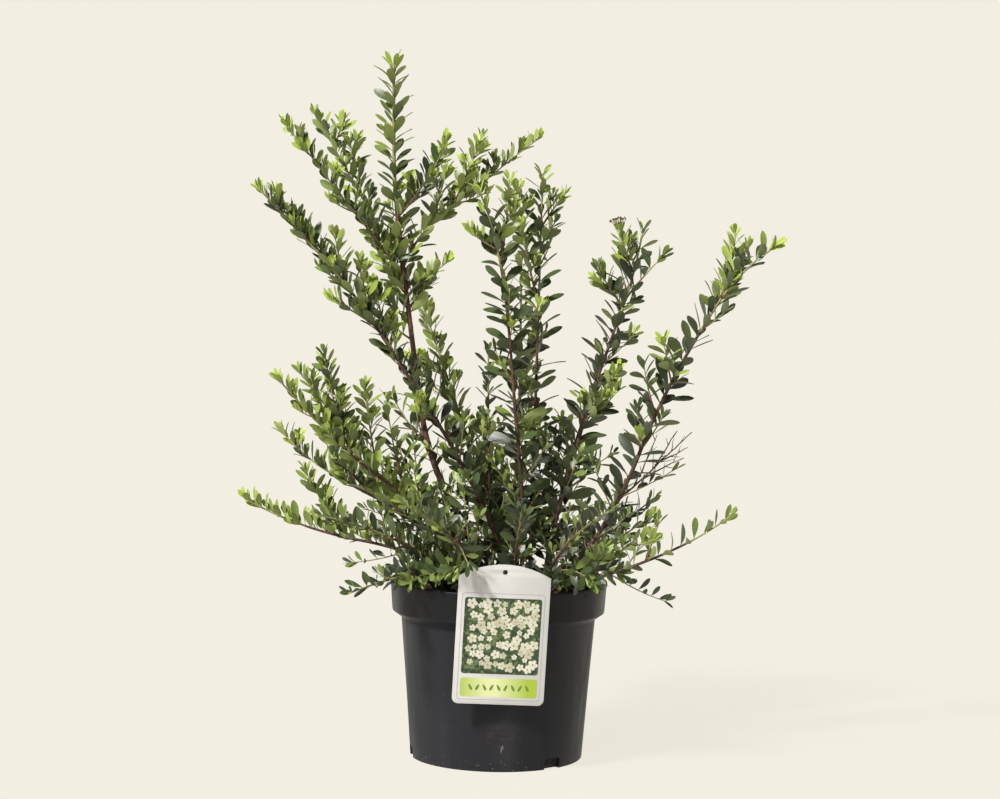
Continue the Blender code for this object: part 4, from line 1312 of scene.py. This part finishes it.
def leaf_mesh(settings, form):
    """One leaf a metre long: obovate, folded along its midrib and bent back towards its tip."""
    chance = random.Random(form + 5)
    half = settings.width / 2.0 * chance.uniform(0.88, 1.10)
    fold = chance.uniform(0.05, 0.16)
    bend = chance.uniform(-0.02, 0.26)
    twist = math.radians(chance.uniform(-14.0, 14.0))
    sway = chance.uniform(-0.05, 0.05)
    shape = bmesh.new()
    under = shape.faces.layers.bool.new("underside")

    def place(share, wide, across, depth=0.0):
        x = across * half * wide
        lift = fold * abs(x) * (1.0 - 0.35 * share) - bend * share ** 2.2 - depth
        turn = twist * share
        y = lift * math.cos(turn) + x * math.sin(turn)
        x = x * math.cos(turn) - lift * math.sin(turn) + sway * share * share
        return shape.verts.new((x, y, share - 0.02))

    top = []
    low = []
    for share, wide in LEAF_ROWS:
        row = [place(share, wide, across, 0.0 if across else LEAF_GROOVE)
               for across in (-1.0, -0.5, 0.0, 0.5, 1.0)]
        top.append(row)
        low.append([row[0], place(share, wide, 0.0, LEAF_GROOVE + settings.thick), row[4]])
    tip = place(1.0, 0.0, 0.0)
    shape.faces.new([*reversed(top[0]), low[0][1]])
    for first, second in zip(top, top[1:]):
        for index in range(4):
            shape.faces.new([first[index], first[index + 1], second[index + 1], second[index]])
    for index in range(4):
        shape.faces.new([top[-1][index], top[-1][index + 1], tip])
    for first, second in zip(low, low[1:]):
        for index in range(2):
            made = shape.faces.new([first[index + 1], first[index], second[index], second[index + 1]])
            made[under] = True
    for index in range(2):
        made = shape.faces.new([low[-1][index + 1], low[-1][index], tip])
        made[under] = True
    bmesh.ops.recalc_face_normals(shape, faces=shape.faces)
    for edge in shape.edges:
        faces = edge.link_faces
        edge.smooth = len(faces) == 2 and faces[0][under] == faces[1][under]
    mesh = mesh_of(shape, f"leaf form {form + 1}")
    for polygon in mesh.polygons:
        polygon.use_smooth = True
    return mesh


def points_mesh(name, leaves):
    """A mesh of loose points that carries each leaf's turn, size, form and tone."""
    mesh = bpy.data.meshes.new(name)
    mesh.from_pydata([tuple(leaf.place) for leaf in leaves], [], [])
    turns = [value for leaf in leaves for value in leaf.turn.to_euler()]
    sizes = [value for leaf in leaves for value in (leaf.size,) * 3]
    for key, kind, field, values in (
            ("turn", "FLOAT_VECTOR", "vector", turns), ("size", "FLOAT_VECTOR", "vector", sizes),
            ("form", "INT", "value", [leaf.form for leaf in leaves]),
            ("tone", "INT", "value", [leaf.tone for leaf in leaves])):
        mesh.attributes.new(key, kind, "POINT").data.foreach_set(field, values)
    return mesh


class SPIREA_OT_pot(bpy.types.Operator):
    """The nursery pot: rolled band, tapering wall and a floor with drain slots"""
    bl_idname = "spirea.pot"
    bl_label = "Pot"

    def execute(self, context):
        settings = context.scene.spirea.pot
        mesh = self.turned(self.profile(settings.wall), settings.steps, settings.dent)
        for heading in SLOT_HEADINGS:
            mesh = joined(link("pot_body", mesh), self.slot(heading), "DIFFERENCE")
        sharp_shading(mesh, 34.0)
        finish_piece("pot_body", painted(mesh, black_plastic(settings)), "pot_plastic", "pot")
        return {"FINISHED"}

    @staticmethod
    def profile(wall):
        """Radii and heights from the middle of the underside over the rim to the floor's middle."""
        band_foot = POT_HEIGHT - BAND_HEIGHT
        wall_top = band_foot - BAND_CHAMFER
        lip = (RIM_RADIUS - wall / 2.0, POT_HEIGHT - wall / 2.0)
        hollow_radius, slope_start, hollow = UNDER_FLOOR
        made = [(0.0, hollow), (slope_start, hollow), (hollow_radius, 0.0)]
        made.append((BASE_RADIUS - FOOT_ROUND, 0.0))
        made += arc((BASE_RADIUS - FOOT_ROUND, FOOT_ROUND), FOOT_ROUND, -60.0, 0.0, 3)
        made += [(BASE_RADIUS + (WALL_TOP_RADIUS - BASE_RADIUS) * step / WALL_STEPS,
                  FOOT_ROUND + (wall_top - FOOT_ROUND) * step / WALL_STEPS)
                 for step in range(1, WALL_STEPS + 1)]
        made += [(WALL_TOP_RADIUS + 0.0006, wall_top + 0.0004),
                 (BAND_FOOT_RADIUS - 0.0008, band_foot - 0.0005),
                 (BAND_FOOT_RADIUS, band_foot),
                 (BAND_FOOT_RADIUS + 0.0003, band_foot + 0.002),
                 (RIM_RADIUS - 0.0006, POT_HEIGHT - 0.006),
                 (RIM_RADIUS, POT_HEIGHT - 0.0032)]
        made += arc(lip, wall / 2.0, 0.0, 180.0, 6)
        made += [(RIM_RADIUS - wall - 0.0006, POT_HEIGHT - 0.006),
                 (BAND_FOOT_RADIUS - wall, band_foot),
                 (WALL_TOP_RADIUS - wall, wall_top),
                 (BASE_RADIUS - wall, FLOOR_TOP)]
        return made + [(0.0, FLOOR_TOP)]

    @staticmethod
    def slot(heading):
        """The cutter of a drain slot with round corners, in its place at the foot of the wall."""
        shape = bmesh.new()
        bmesh.ops.create_cube(shape, size=1.0)
        bmesh.ops.transform(shape, matrix=Matrix.Diagonal((*SLOT_SIZE, 1.0)), verts=shape.verts)
        through = [edge for edge in shape.edges
                   if abs(edge.verts[0].co.x - edge.verts[1].co.x) > SLOT_SIZE[0] / 2.0]
        bmesh.ops.bevel(shape, geom=through, offset=SLOT_CORNER, segments=3, affect="EDGES", profile=0.5)
        turn = Matrix.Rotation(math.radians(heading), 4, "Z")
        place = turn @ Matrix.Translation((BASE_RADIUS, 0.0, 0.0))
        bmesh.ops.transform(shape, matrix=place, verts=shape.verts)
        return link("slot", mesh_of(shape, "slot"))

    @staticmethod
    def turned(profile, steps, dent):
        """The turned pot, with soft dents in its wall towards the left of the label."""
        places = []
        for radius, height in profile[1:-1]:
            for step in range(steps):
                angle = 2.0 * math.pi * step / steps
                out = Vector((math.cos(angle), math.sin(angle), 0.0))
                place = Vector((radius * math.cos(angle), radius * math.sin(angle), height))
                if radius > DENT_FROM_RADIUS:
                    spot = (math.cos(angle) * 1.6, math.sin(angle) * 1.6, height * 14.0)
                    soft = noise.noise(Vector(spot))
                    fade = held(height / 0.05) * held((DENT_TOP - height) / 0.02)
                    place -= out * dent * (0.5 + 0.5 * soft) * fade
                    slant = math.degrees(angle) - DENT_HEADING + (height - 0.118) * 500.0
                    near = math.exp(-((slant / 7.0) ** 2) - ((height - 0.112) / 0.022) ** 2)
                    place -= out * dent * 1.6 * near * fade
                places.append(place)
        count = len(profile) - 2
        faces = ring_faces(count, steps)
        places += [Vector((0.0, 0.0, profile[0][1])), Vector((0.0, 0.0, profile[-1][1]))]
        under = count * steps
        for step in range(steps):
            after = (step + 1) % steps
            faces.append((under, after, step))
            faces.append((under + 1, under - steps + step, under - steps + after))
        return mesh_from("pot_body", places, faces, [])


class SPIREA_OT_soil(bpy.types.Operator):
    """The soil's lumpy top with crumbs of bark and peat"""
    bl_idname = "spirea.soil"
    bl_label = "Soil"

    def execute(self, context):
        settings = context.scene.spirea.soil
        steps, count = SOIL_STEPS, SOIL_RINGS
        top_radius = BAND_FOOT_RADIUS - SOIL_INSET
        places = []
        for ring in range(1, count + 1):
            for place in circle(top_radius * ring / count, 0.0, steps):
                lump = noise.fractal(place * 90.0, 1.0, 2.0, 4)
                place.z = SOIL_TOP - SOIL_DIP + settings.lumps * (lump - 0.1)
                places.append(place)
        band_foot = POT_HEIGHT - BAND_HEIGHT
        for radius, height in (
                (top_radius, band_foot), (WALL_TOP_RADIUS - SOIL_INSET, band_foot - BAND_CHAMFER),
                (BASE_RADIUS - SOIL_INSET, SOIL_LOW.z + 0.001), (BASE_RADIUS - 0.004, SOIL_LOW.z)):
            places += circle(radius, height, steps)
        faces = [(a, d, c, b) for a, b, c, d in ring_faces(count + 4, steps)]
        places.append((0.0, 0.0, SOIL_TOP - SOIL_DIP))
        faces.extend((len(places) - 1, step, (step + 1) % steps) for step in range(steps))
        last = (count + 3) * steps
        faces.append(tuple(last + step for step in reversed(range(steps))))
        mesh = mesh_from("soil_bed", places, faces, [peat(settings)])
        finish_piece("soil_bed", mesh, "soil", "potting_soil")

        top = bpy.data.meshes.new("soil_top")
        top.from_pydata(places[:count * steps], [], faces[:(count - 1) * steps])
        crumbs = hidden_collection("crumb", self.crumb_meshes(settings))
        litter = run_tree(link("soil_top", top), scatter_tree(),
                          {"Things": crumbs, "Density": settings.crumbs, "Apart": 0.0016,
                           "Smallest": 0.5, "Largest": 1.3, "Tumble": 0.7, "Seed": 3})
        discard(crumbs)
        finish_piece("soil_litter", litter, "soil")
        return {"FINISHED"}

    @staticmethod
    def crumb_meshes(settings):
        """Crumbs of peat, chips of bark and a few pale fibres."""
        kinds = (
            ("peat crumb", (58, 43, 33), (1.0, 0.8, 0.6)), ("dark crumb", (38, 28, 22), (0.8, 0.8, 0.6)),
            ("bark chip", (96, 66, 46), (1.7, 0.8, 0.35)), ("old leaf", (122, 96, 62), (1.9, 0.9, 0.14)),
            ("fibre", (142, 116, 84), (3.0, 0.22, 0.2)), ("peat lump", (50, 37, 29), (1.1, 1.0, 0.8)),
        )
        made = []
        for index, (name, colour, size) in enumerate(kinds):
            shape = bmesh.new()
            bmesh.ops.create_icosphere(shape, subdivisions=1, radius=settings.crumb_size / 2.0)
            for vertex in shape.verts:
                rough = 1.0 + 0.35 * noise.noise(vertex.co * 900.0 + Vector((index, 0.0, 0.0)))
                vertex.co = Vector(vertex.co[axis] * size[axis] * rough for axis in range(3))
            made.append(painted(mesh_of(shape, name), Finish(name, linear(colour), 0.9).material))
        return made


class SPIREA_OT_label(bpy.types.Operator):
    """The picture label: a white card hooked over the rim, with a generic print"""
    bl_idname = "spirea.label"
    bl_label = "Label"

    def execute(self, context):
        settings = context.scene.spirea.label
        hole_centre = (0.0, CARD_ARCH - CARD_HOLE_DROP)
        hole = list(reversed(arc(hole_centre, CARD_HOLE_RADIUS, 0.0, 345.0, 23)))
        card = flat_solid("card", [card_outline(), hole], CARD_THICK, label_place(), CARD_BEVEL)
        mesh = joined(link("card", card), link("tongue", self.tongue()), "UNION")
        sharp_shading(mesh, 30.0)
        finish_piece("label_card", painted(mesh, card_white(settings)), "label_card", "plant_label")

        half = CARD_WIDTH / 2.0
        foot = -CARD_SIDE_HEIGHT
        side = half - PRINT_INSET
        panel = ((-side, foot + PANEL_FOOT), (side, -PANEL_DROP))
        band = ((-side, foot + PRINT_INSET), (side, foot + BAND_TOP))
        line = []
        for inset in (0.0, LINE_WIDTH):
            low = (-half + LINE_INSET + inset, foot + LINE_INSET + inset)
            high = (half - LINE_INSET - inset, -LINE_DROP - inset)
            line.append(round_box(low, high, LINE_CORNER - inset))
        line[1].reverse()
        for name, outlines, finish in (
                ("label_line", line, plain_print("grey print", (150, 152, 150))),
                ("label_panel", [round_box(*panel, PRINT_CORNER)], panel_print(settings)),
                ("label_band", [round_box(*band, PRINT_CORNER)], band_print(settings))):
            self.printed(name, outlines, finish, 1)
        self.picture(panel, settings)
        self.sprigs(band)
        return {"FINISHED"}

    @staticmethod
    def tongue():
        """The tongue that hooks over the rim."""
        front = -RIM_RADIUS - GAP - CARD_THICK / 2.0 - GAP
        inside = -RIM_RADIUS + WALL_THICK + HOOK_PLAY
        under = POT_HEIGHT + GAP
        corners = [(front, under), (inside, under), (inside, under - HOOK_REACH),
                   (inside + CARD_THICK, under - HOOK_REACH), (inside + CARD_THICK, under + CARD_THICK),
                   (front, under + CARD_THICK)]
        upright = Matrix(((0, 0, 1, 0), (1, 0, 0, 0), (0, 1, 0, 0), (0, 0, 0, 1)))
        place = Matrix.Rotation(math.radians(LABEL_TURN), 4, "Z") @ upright
        return flat_solid("tongue", [corners], HOOK_WIDTH, place)

    @staticmethod
    def layer(level):
        """The matrix of a print that lies a number of print thicknesses above the card."""
        lift = CARD_THICK / 2.0 + PRINT_THICK * (level - 0.5)
        return label_place() @ Matrix.Translation((0.0, 0.0, lift))

    def printed(self, name, outlines, finish, level):
        mesh = flat_solid(name, outlines, PRINT_THICK, self.layer(level), weld=1e-7)
        finish_piece(name, painted(mesh, finish), "label_card")

    def picture(self, panel, settings):
        """Leaves and pale five-petalled blossoms over the panel, scattered by Geometry Nodes."""
        (left, foot), (right, top) = panel
        area = [round_box((left + PICTURE_INSET, foot + PICTURE_INSET),
                          (right - PICTURE_INSET, top - PICTURE_INSET), 0.001)]
        centre = plain_print("centre print", (150, 146, 84))
        leaf = self.leaf_outline(0.0038, 0.0013)
        greens = [[(leaf, plain_print(f"leaf print {tone[0]}", tone), 0.0)]
                  for tone in ((74, 94, 54), (56, 76, 44), (96, 114, 72))]
        petals = self.petal_outline(0.0040)
        dot = arc((0.0, 0.0), 0.0008, 0.0, 324.0, 9)
        flowers = [[(petals, plain_print(f"petal print {tone[0]}", tone), 0.0), (dot, centre, 1.0)]
                   for tone in ((204, 202, 184), (190, 186, 164), (212, 210, 196))]
        for name, level, kinds, density, apart, sizes, seed in (
                ("label_leaves", 2, greens, 260000.0, 0.0030, (0.6, 1.1), 5),
                ("label_blossoms", 3, flowers, 110000.0, 0.0052, (0.60, 1.20), settings.blossoms)):
            things = hidden_collection(name, [self.thin(kind) for kind in kinds])
            mesh = run_tree(link("print_points", flat_solid("print_area", area, 0.0)), scatter_tree(),
                            {"Things": things, "Density": density, "Apart": apart, "Smallest": sizes[0],
                             "Largest": sizes[1], "Tumble": 0.0, "Seed": seed})
            discard(things)
            mesh.transform(self.layer(level))
            finish_piece(name, mesh, "label_card")

    @staticmethod
    def petal_outline(reach):
        """Five round petals with shallow notches between them."""
        made = []
        for step in range(40):
            angle = 2.0 * math.pi * step / 40.0
            radius = reach * (0.42 + 0.58 * abs(math.cos(2.5 * angle)) ** 0.5)
            made.append((radius * math.cos(angle), radius * math.sin(angle)))
        return made

    @staticmethod
    def leaf_outline(along, across):
        made = []
        for step in range(12):
            angle = 2.0 * math.pi * step / 12.0
            wide = across * math.sin(angle) * (1.0 - 0.25 * math.cos(angle))
            made.append((along * math.cos(angle), wide))
        return made

    @staticmethod
    def thin(parts):
        """Thin solids of flat outlines, each with its finish and its height in print layers."""
        shape = bmesh.new()
        for index, (outline, _, level) in enumerate(parts):
            low = [shape.verts.new((x, y, (level - 0.5) * PRINT_THICK)) for x, y in outline]
            high = [shape.verts.new((x, y, (level + 0.5) * PRINT_THICK)) for x, y in outline]
            faces = [shape.faces.new(high), shape.faces.new(list(reversed(low)))]
            for step in range(len(outline)):
                after = (step + 1) % len(outline)
                faces.append(shape.faces.new([low[step], low[after], high[after], high[step]]))
            for face in faces:
                face.material_index = index
        bmesh.ops.triangulate(shape, faces=[face for face in shape.faces if len(face.verts) > 4])
        mesh = mesh_of(shape, "print")
        for _, finish, _ in parts:
            mesh.materials.append(finish)
        return mesh

    def sprigs(self, band):
        """A row of small leaf shapes along the band."""
        outlines = []
        middle = (band[0][1] + band[1][1]) / 2.0
        for index in range(9):
            x = -0.0240 + 0.0060 * index
            tilt = math.radians(62.0 if index % 2 else 118.0)
            outlines.append([(x + along * math.cos(tilt) - across * math.sin(tilt),
                              middle + along * math.sin(tilt) + across * math.cos(tilt))
                             for along, across in self.leaf_outline(0.0030, 0.0011)])
        self.printed("label_sprigs", outlines, plain_print("sprig print", (100, 128, 50)), 2)


class SPIREA_OT_canes(bpy.types.Operator):
    """The short stem and the canes, with the relief of their bark"""
    bl_idname = "spirea.canes"
    bl_label = "Canes"

    def execute(self, context):
        settings = context.scene.spirea.bark
        brown = bark("brown bark", settings.brown)
        red = bark("reddish bark", settings.red)
        canes, _ = plant()
        for cane, foot, stem in canes:
            if not cane.bare:
                continue
            end = max(cane.bare, settings.woody * cane.length)
            points, radii = tube_along(stem, 0.0, end, settings.step)
            finish = red if cane.name == "tall_left" else brown
            points.insert(0, foot)
            radii.insert(0, cane.radius)
            mesh = bark_mesh(f"bark_{cane.name}", points, radii, settings, finish)
            finish_piece(mesh.name, mesh, "bark", f"cane_{cane.name}")
        self.short_stem(brown)
        return {"FINISHED"}

    @staticmethod
    def short_stem(finish):
        """The gnarled short stem that the oldest canes rise from."""
        x, y = STEM_PLACE
        foot = SOIL_TOP + GAP
        points = []
        radii = []
        for step in range(13):
            share = step / 12.0
            points.append(Vector((x, y, foot + STEM_HEIGHT * share)))
            flare = (1.0 - share) ** 2
            radius = STEM_TOP_RADIUS + (STEM_FOOT_RADIUS - STEM_TOP_RADIUS) * flare
            radii.append(radius * (1.0 - 0.10 * max(0.0, share - 0.85) / 0.15) * 0.96)
        sides = 40
        made = rings(points, radii, sides)
        places = []
        for ring, point in zip(made, points):
            for place in ring:
                off = place - point
                gnarl = noise.fractal(place * 240.0, 1.0, 2.0, 3)
                places.append(point + off * (1.0 + 0.05 * max(-0.8, min(0.8, gnarl))))
        mesh = mesh_from("bark_short_stem", places, tube_faces(len(made), sides), [finish])
        finish_piece("bark_short_stem", mesh, "bark", "short_stem")


class SPIREA_OT_twigs(bpy.types.Operator):
    """The twigs of every mass, brown below and green towards their tips"""
    bl_idname = "spirea.twigs"
    bl_label = "Twigs"

    def execute(self, context):
        settings = context.scene.spirea.bark
        young = Finish("green shoots", settings.green, 0.6).material
        ripe = Finish("brown twigs", linear((112, 84, 64)), 0.7).material
        _, masses = plant()
        for name, mass in masses.items():
            tubes = Tubes()
            for stem in mass["stems"]:
                start = 0.0
                turn = BROWN_SHARES[stem.order] * stem.growth.length
                if stem.order == 0 and stem.start > 0.0:
                    start = turn = max(stem.start, settings.woody * stem.growth.length)
                sides, step = (6, 0.006) if stem.order < 2 else (5, 0.005)
                if turn > start + 0.004:
                    tubes.add(*tube_along(stem, start, turn, step), sides)
                tubes.add(*tube_along(stem, turn, leafy_end(stem), step), sides, 1)
            mesh = tubes.mesh(f"twigs_{name}", [ripe, young])
            finish_piece(mesh.name, mesh, "bark", f"leaves_{name}")
        return {"FINISHED"}


class SPIREA_OT_leaves(bpy.types.Operator):
    """The leaves of every mass, set on their twigs by Geometry Nodes"""
    bl_idname = "spirea.leaves"
    bl_label = "Leaves"

    def execute(self, context):
        settings = context.scene.spirea.leaf
        tree = foliage_tree(leaf_finishes(settings))
        forms = hidden_collection("leaf", [leaf_mesh(settings, form) for form in range(LEAF_FORMS)])
        _, masses = plant()
        for name, mass in masses.items():
            points = link(f"points_{name}", points_mesh(f"points_{name}", mass["leaves"]))
            mesh = run_tree(points, tree, {"Leaves": forms, "Size": settings.size})
            finish_piece(f"foliage_{name}", mesh, "leaves", f"leaves_{name}")
        discard(forms)
        return {"FINISHED"}


class SPIREA_OT_dry(bpy.types.Operator):
    """The bare dry twigs and the one dried flower head"""
    bl_idname = "spirea.dry"
    bl_label = "Dry twigs and flower head"

    def execute(self, context):
        settings = context.scene.spirea.bark
        finish = dry_wood(settings)
        canes, _ = plant()
        stem = next(stem for cane, _, stem in canes if cane.name == "far_right")
        tubes = Tubes()
        chance = random.Random(SEED)
        side = direction(DRY_HEADING, 90.0) * 0.6 * stem_radius(stem, DRY_AT)
        main = Growth(stem.growth.at(DRY_AT) + side, DRY_HEADING, DRY_LEANS, DRY_LENGTH)
        lines = [(main, DRY_RADIUS)]
        for distance, heading, leans, length in DRY_FAN:
            lines.append((Growth(main.at(distance), heading, leans, length), 0.75 * DRY_RADIUS))
        for line, _ in list(lines):
            distance = 0.3 * line.length
            turn = chance.uniform(0.0, 360.0)
            while distance < 0.9 * line.length:
                twig = branch(line, distance, turn, 46.0, 0.1, chance.uniform(0.006, 0.016), 0.9)
                lines.append((twig, 0.4 * DRY_RADIUS))
                distance += chance.uniform(0.008, 0.014)
                turn += GOLDEN_TURN
        for line, radius in lines:
            distances = stretch(0.0, line.length, 0.005)
            points = []
            for distance in distances:
                sway = Vector([noise.noise(line.at(distance) * 160.0 + Vector((axis * 9.0, 0.0, 0.0)))
                               for axis in range(3)])
                points.append(line.at(distance) + sway * 0.0011 * held(distance / 0.01))
            radii = [radius * (1.0 - 0.6 * distance / line.length) for distance in distances]
            tubes.add(points, radii, 6)
        finish_piece("dry_twigs_bare", tubes.mesh("dry_twigs_bare", [finish]), "dry_wood", "dry_twigs")
        self.flower_head()
        return {"FINISHED"}

    @staticmethod
    def flower_head():
        """Dry seed capsules on fine stalks that fan from a shoot's tip."""
        shoot = next(row for row in SHOOTS if (row.cane, row.at) == HEAD_SHOOT)
        cane = next(row for row in CANES if row.name == shoot.cane)
        foot = Vector((*cane.foot, SOIL_TOP + GAP + FLAT_CUT))
        growth = Growth(foot, cane.heading, cane.leans, cane.length)
        line = Growth(growth.at(shoot.at), shoot.heading, shoot.leans, shoot.length)
        tip = line.at(shoot.length - 0.003)
        way = line.way(shoot.length)
        chance = random.Random(SEED + 1)
        tubes = Tubes()
        capsules = bmesh.new()
        for index in range(HEAD_STALKS):
            wide = math.sqrt((index + 0.5) / HEAD_STALKS)
            out = Quaternion(way, math.radians(GOLDEN_TURN * index)) @ line.across()
            end = tip + out * HEAD_RADIUS * wide + way * (HEAD_HEIGHT - HEAD_DOME * wide)
            end += UP * chance.uniform(-0.0008, 0.0008)
            middle = tip.lerp(end, 0.55) + out * 0.0006
            tubes.add([tip, middle, end], [0.00030, 0.00022, 0.00018], 5)
            place = Matrix.Translation(end) @ Matrix.Diagonal((1.0, 1.0, 1.25, 1.0))
            bmesh.ops.create_icosphere(capsules, subdivisions=1, radius=chance.uniform(0.00065, 0.0010),
                                       matrix=place)
        brown = Finish("dry capsules", linear((96, 66, 46)), 0.85).material
        stalk = Finish("dry stalks", linear((140, 122, 84)), 0.8).material
        finish_piece("flower_stalks", tubes.mesh("flower_stalks", [stalk]), "dry_wood")
        mesh = painted(mesh_of(capsules, "flower_capsules"), brown)
        mesh.shade_smooth()
        finish_piece("flower_capsules", mesh, "dry_wood")


class SPIREA_OT_stage(bpy.types.Operator):
    """The pale floor, soft light and the camera"""
    bl_idname = "spirea.stage"
    bl_label = "Stage"

    def execute(self, context):
        scene = context.scene
        settings = scene.spirea.stage
        half = settings.floor / 2.0
        corners = [(-half, -half, 0.0), (half, -half, 0.0), (half, half, 0.0), (-half, half, 0.0)]
        floor = link("floor", mesh_from("floor", corners, [(0, 1, 2, 3)], [], smooth=False))
        cream = linear(CREAM)
        paper = Finish("floor paper", [0.06 * value for value in cream], 1.0, Specular_IOR_Level=0.0,
                       Emission_Color=(*cream, 1.0), Emission_Strength=settings.glow)
        floor.data.materials.append(paper.material)
        world = bpy.data.worlds.new("studio")
        world.use_nodes = True
        tree = world.node_tree
        back = tree.nodes["Background"]
        back.inputs["Color"].default_value = (*cream, 1.0)
        around = node_in(tree, "ShaderNodeTexCoord").outputs["Generated"]
        height = node_in(tree, "ShaderNodeSeparateXYZ", {"Vector": around}).outputs["Z"]
        falls = node_in(tree, "ShaderNodeMapRange", {"Value": height, "From Min": 0.12, "From Max": 0.34,
                                                     "To Min": 1.0, "To Max": settings.sky})
        tree.links.new(falls.outputs["Result"], back.inputs["Strength"])
        scene.world = world
        scene.view_settings.view_transform = "Standard"
        self.sun("key", KEY_FROM, settings.key, 8.0, WARM)
        self.sun("soft", KEY_FROM, settings.soft, 45.0, WARM)
        self.sun("fill", FILL_FROM, settings.fill, 60.0, COOL)
        self.camera(scene)
        return {"FINISHED"}

    @staticmethod
    def sun(name, towards, strength, angle, colour):
        light = bpy.data.lights.new(name, "SUN")
        light.energy = strength
        light.angle = math.radians(angle)
        light.color = linear(colour)
        made = link(name, light)
        made.rotation_euler = Vector(towards).to_track_quat("Z", "Y").to_euler()

    @staticmethod
    def camera(scene):
        pitch, roll = math.radians(CAMERA_PITCH), math.radians(CAMERA_ROLL)
        forward = Vector((0.0, math.cos(pitch), -math.sin(pitch)))
        level = Vector((1.0, 0.0, 0.0))
        upward = level.cross(forward)
        right = level * math.cos(roll) + upward * math.sin(roll)
        top = upward * math.cos(roll) - level * math.sin(roll)
        data = bpy.data.cameras.new("camera")
        data.sensor_width = 36.0
        data.sensor_fit = "HORIZONTAL"
        data.lens = CAMERA_LENS
        data.clip_end = 100.0
        made = link("camera", data)
        turn = Matrix((right, top, -forward)).transposed().to_4x4()
        made.matrix_world = Matrix.Translation(CAMERA_PLACE) @ turn
        scene.camera = made


STEPS = (SPIREA_OT_stage, SPIREA_OT_pot, SPIREA_OT_soil, SPIREA_OT_label, SPIREA_OT_canes,
         SPIREA_OT_twigs, SPIREA_OT_leaves, SPIREA_OT_dry)


class SPIREA_PT_panel(bpy.types.Panel):
    """The sizes and colours, and one button for each group of pieces"""
    bl_idname = "SPIREA_PT_panel"
    bl_label = "Potted spirea"
    bl_space_type = "VIEW_3D"
    bl_region_type = "UI"
    bl_category = "Spirea"

    def draw(self, context):
        settings = context.scene.spirea
        for group in (settings.pot, settings.soil, settings.label, settings.bark, settings.leaf,
                      settings.stage):
            box = self.layout.box()
            for name in group.__annotations__:
                box.prop(group, name)
        for step in STEPS:
            self.layout.operator(step.bl_idname)


CLASSES = (PotSettings, SoilSettings, LabelSettings, BarkSettings, LeafSettings, StageSettings,
           SpireaSettings, *STEPS, SPIREA_PT_panel)


def register():
    for kind in CLASSES:
        bpy.utils.register_class(kind)
    bpy.types.Scene.spirea = PointerProperty(type=SpireaSettings)


def unregister():
    del bpy.types.Scene.spirea
    for kind in reversed(CLASSES):
        bpy.utils.unregister_class(kind)


def main():
    register()
    for step in STEPS:
        group, name = step.bl_idname.split(".")
        getattr(getattr(bpy.ops, group), name)()
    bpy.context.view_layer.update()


if __name__ == "__main__":
    main()
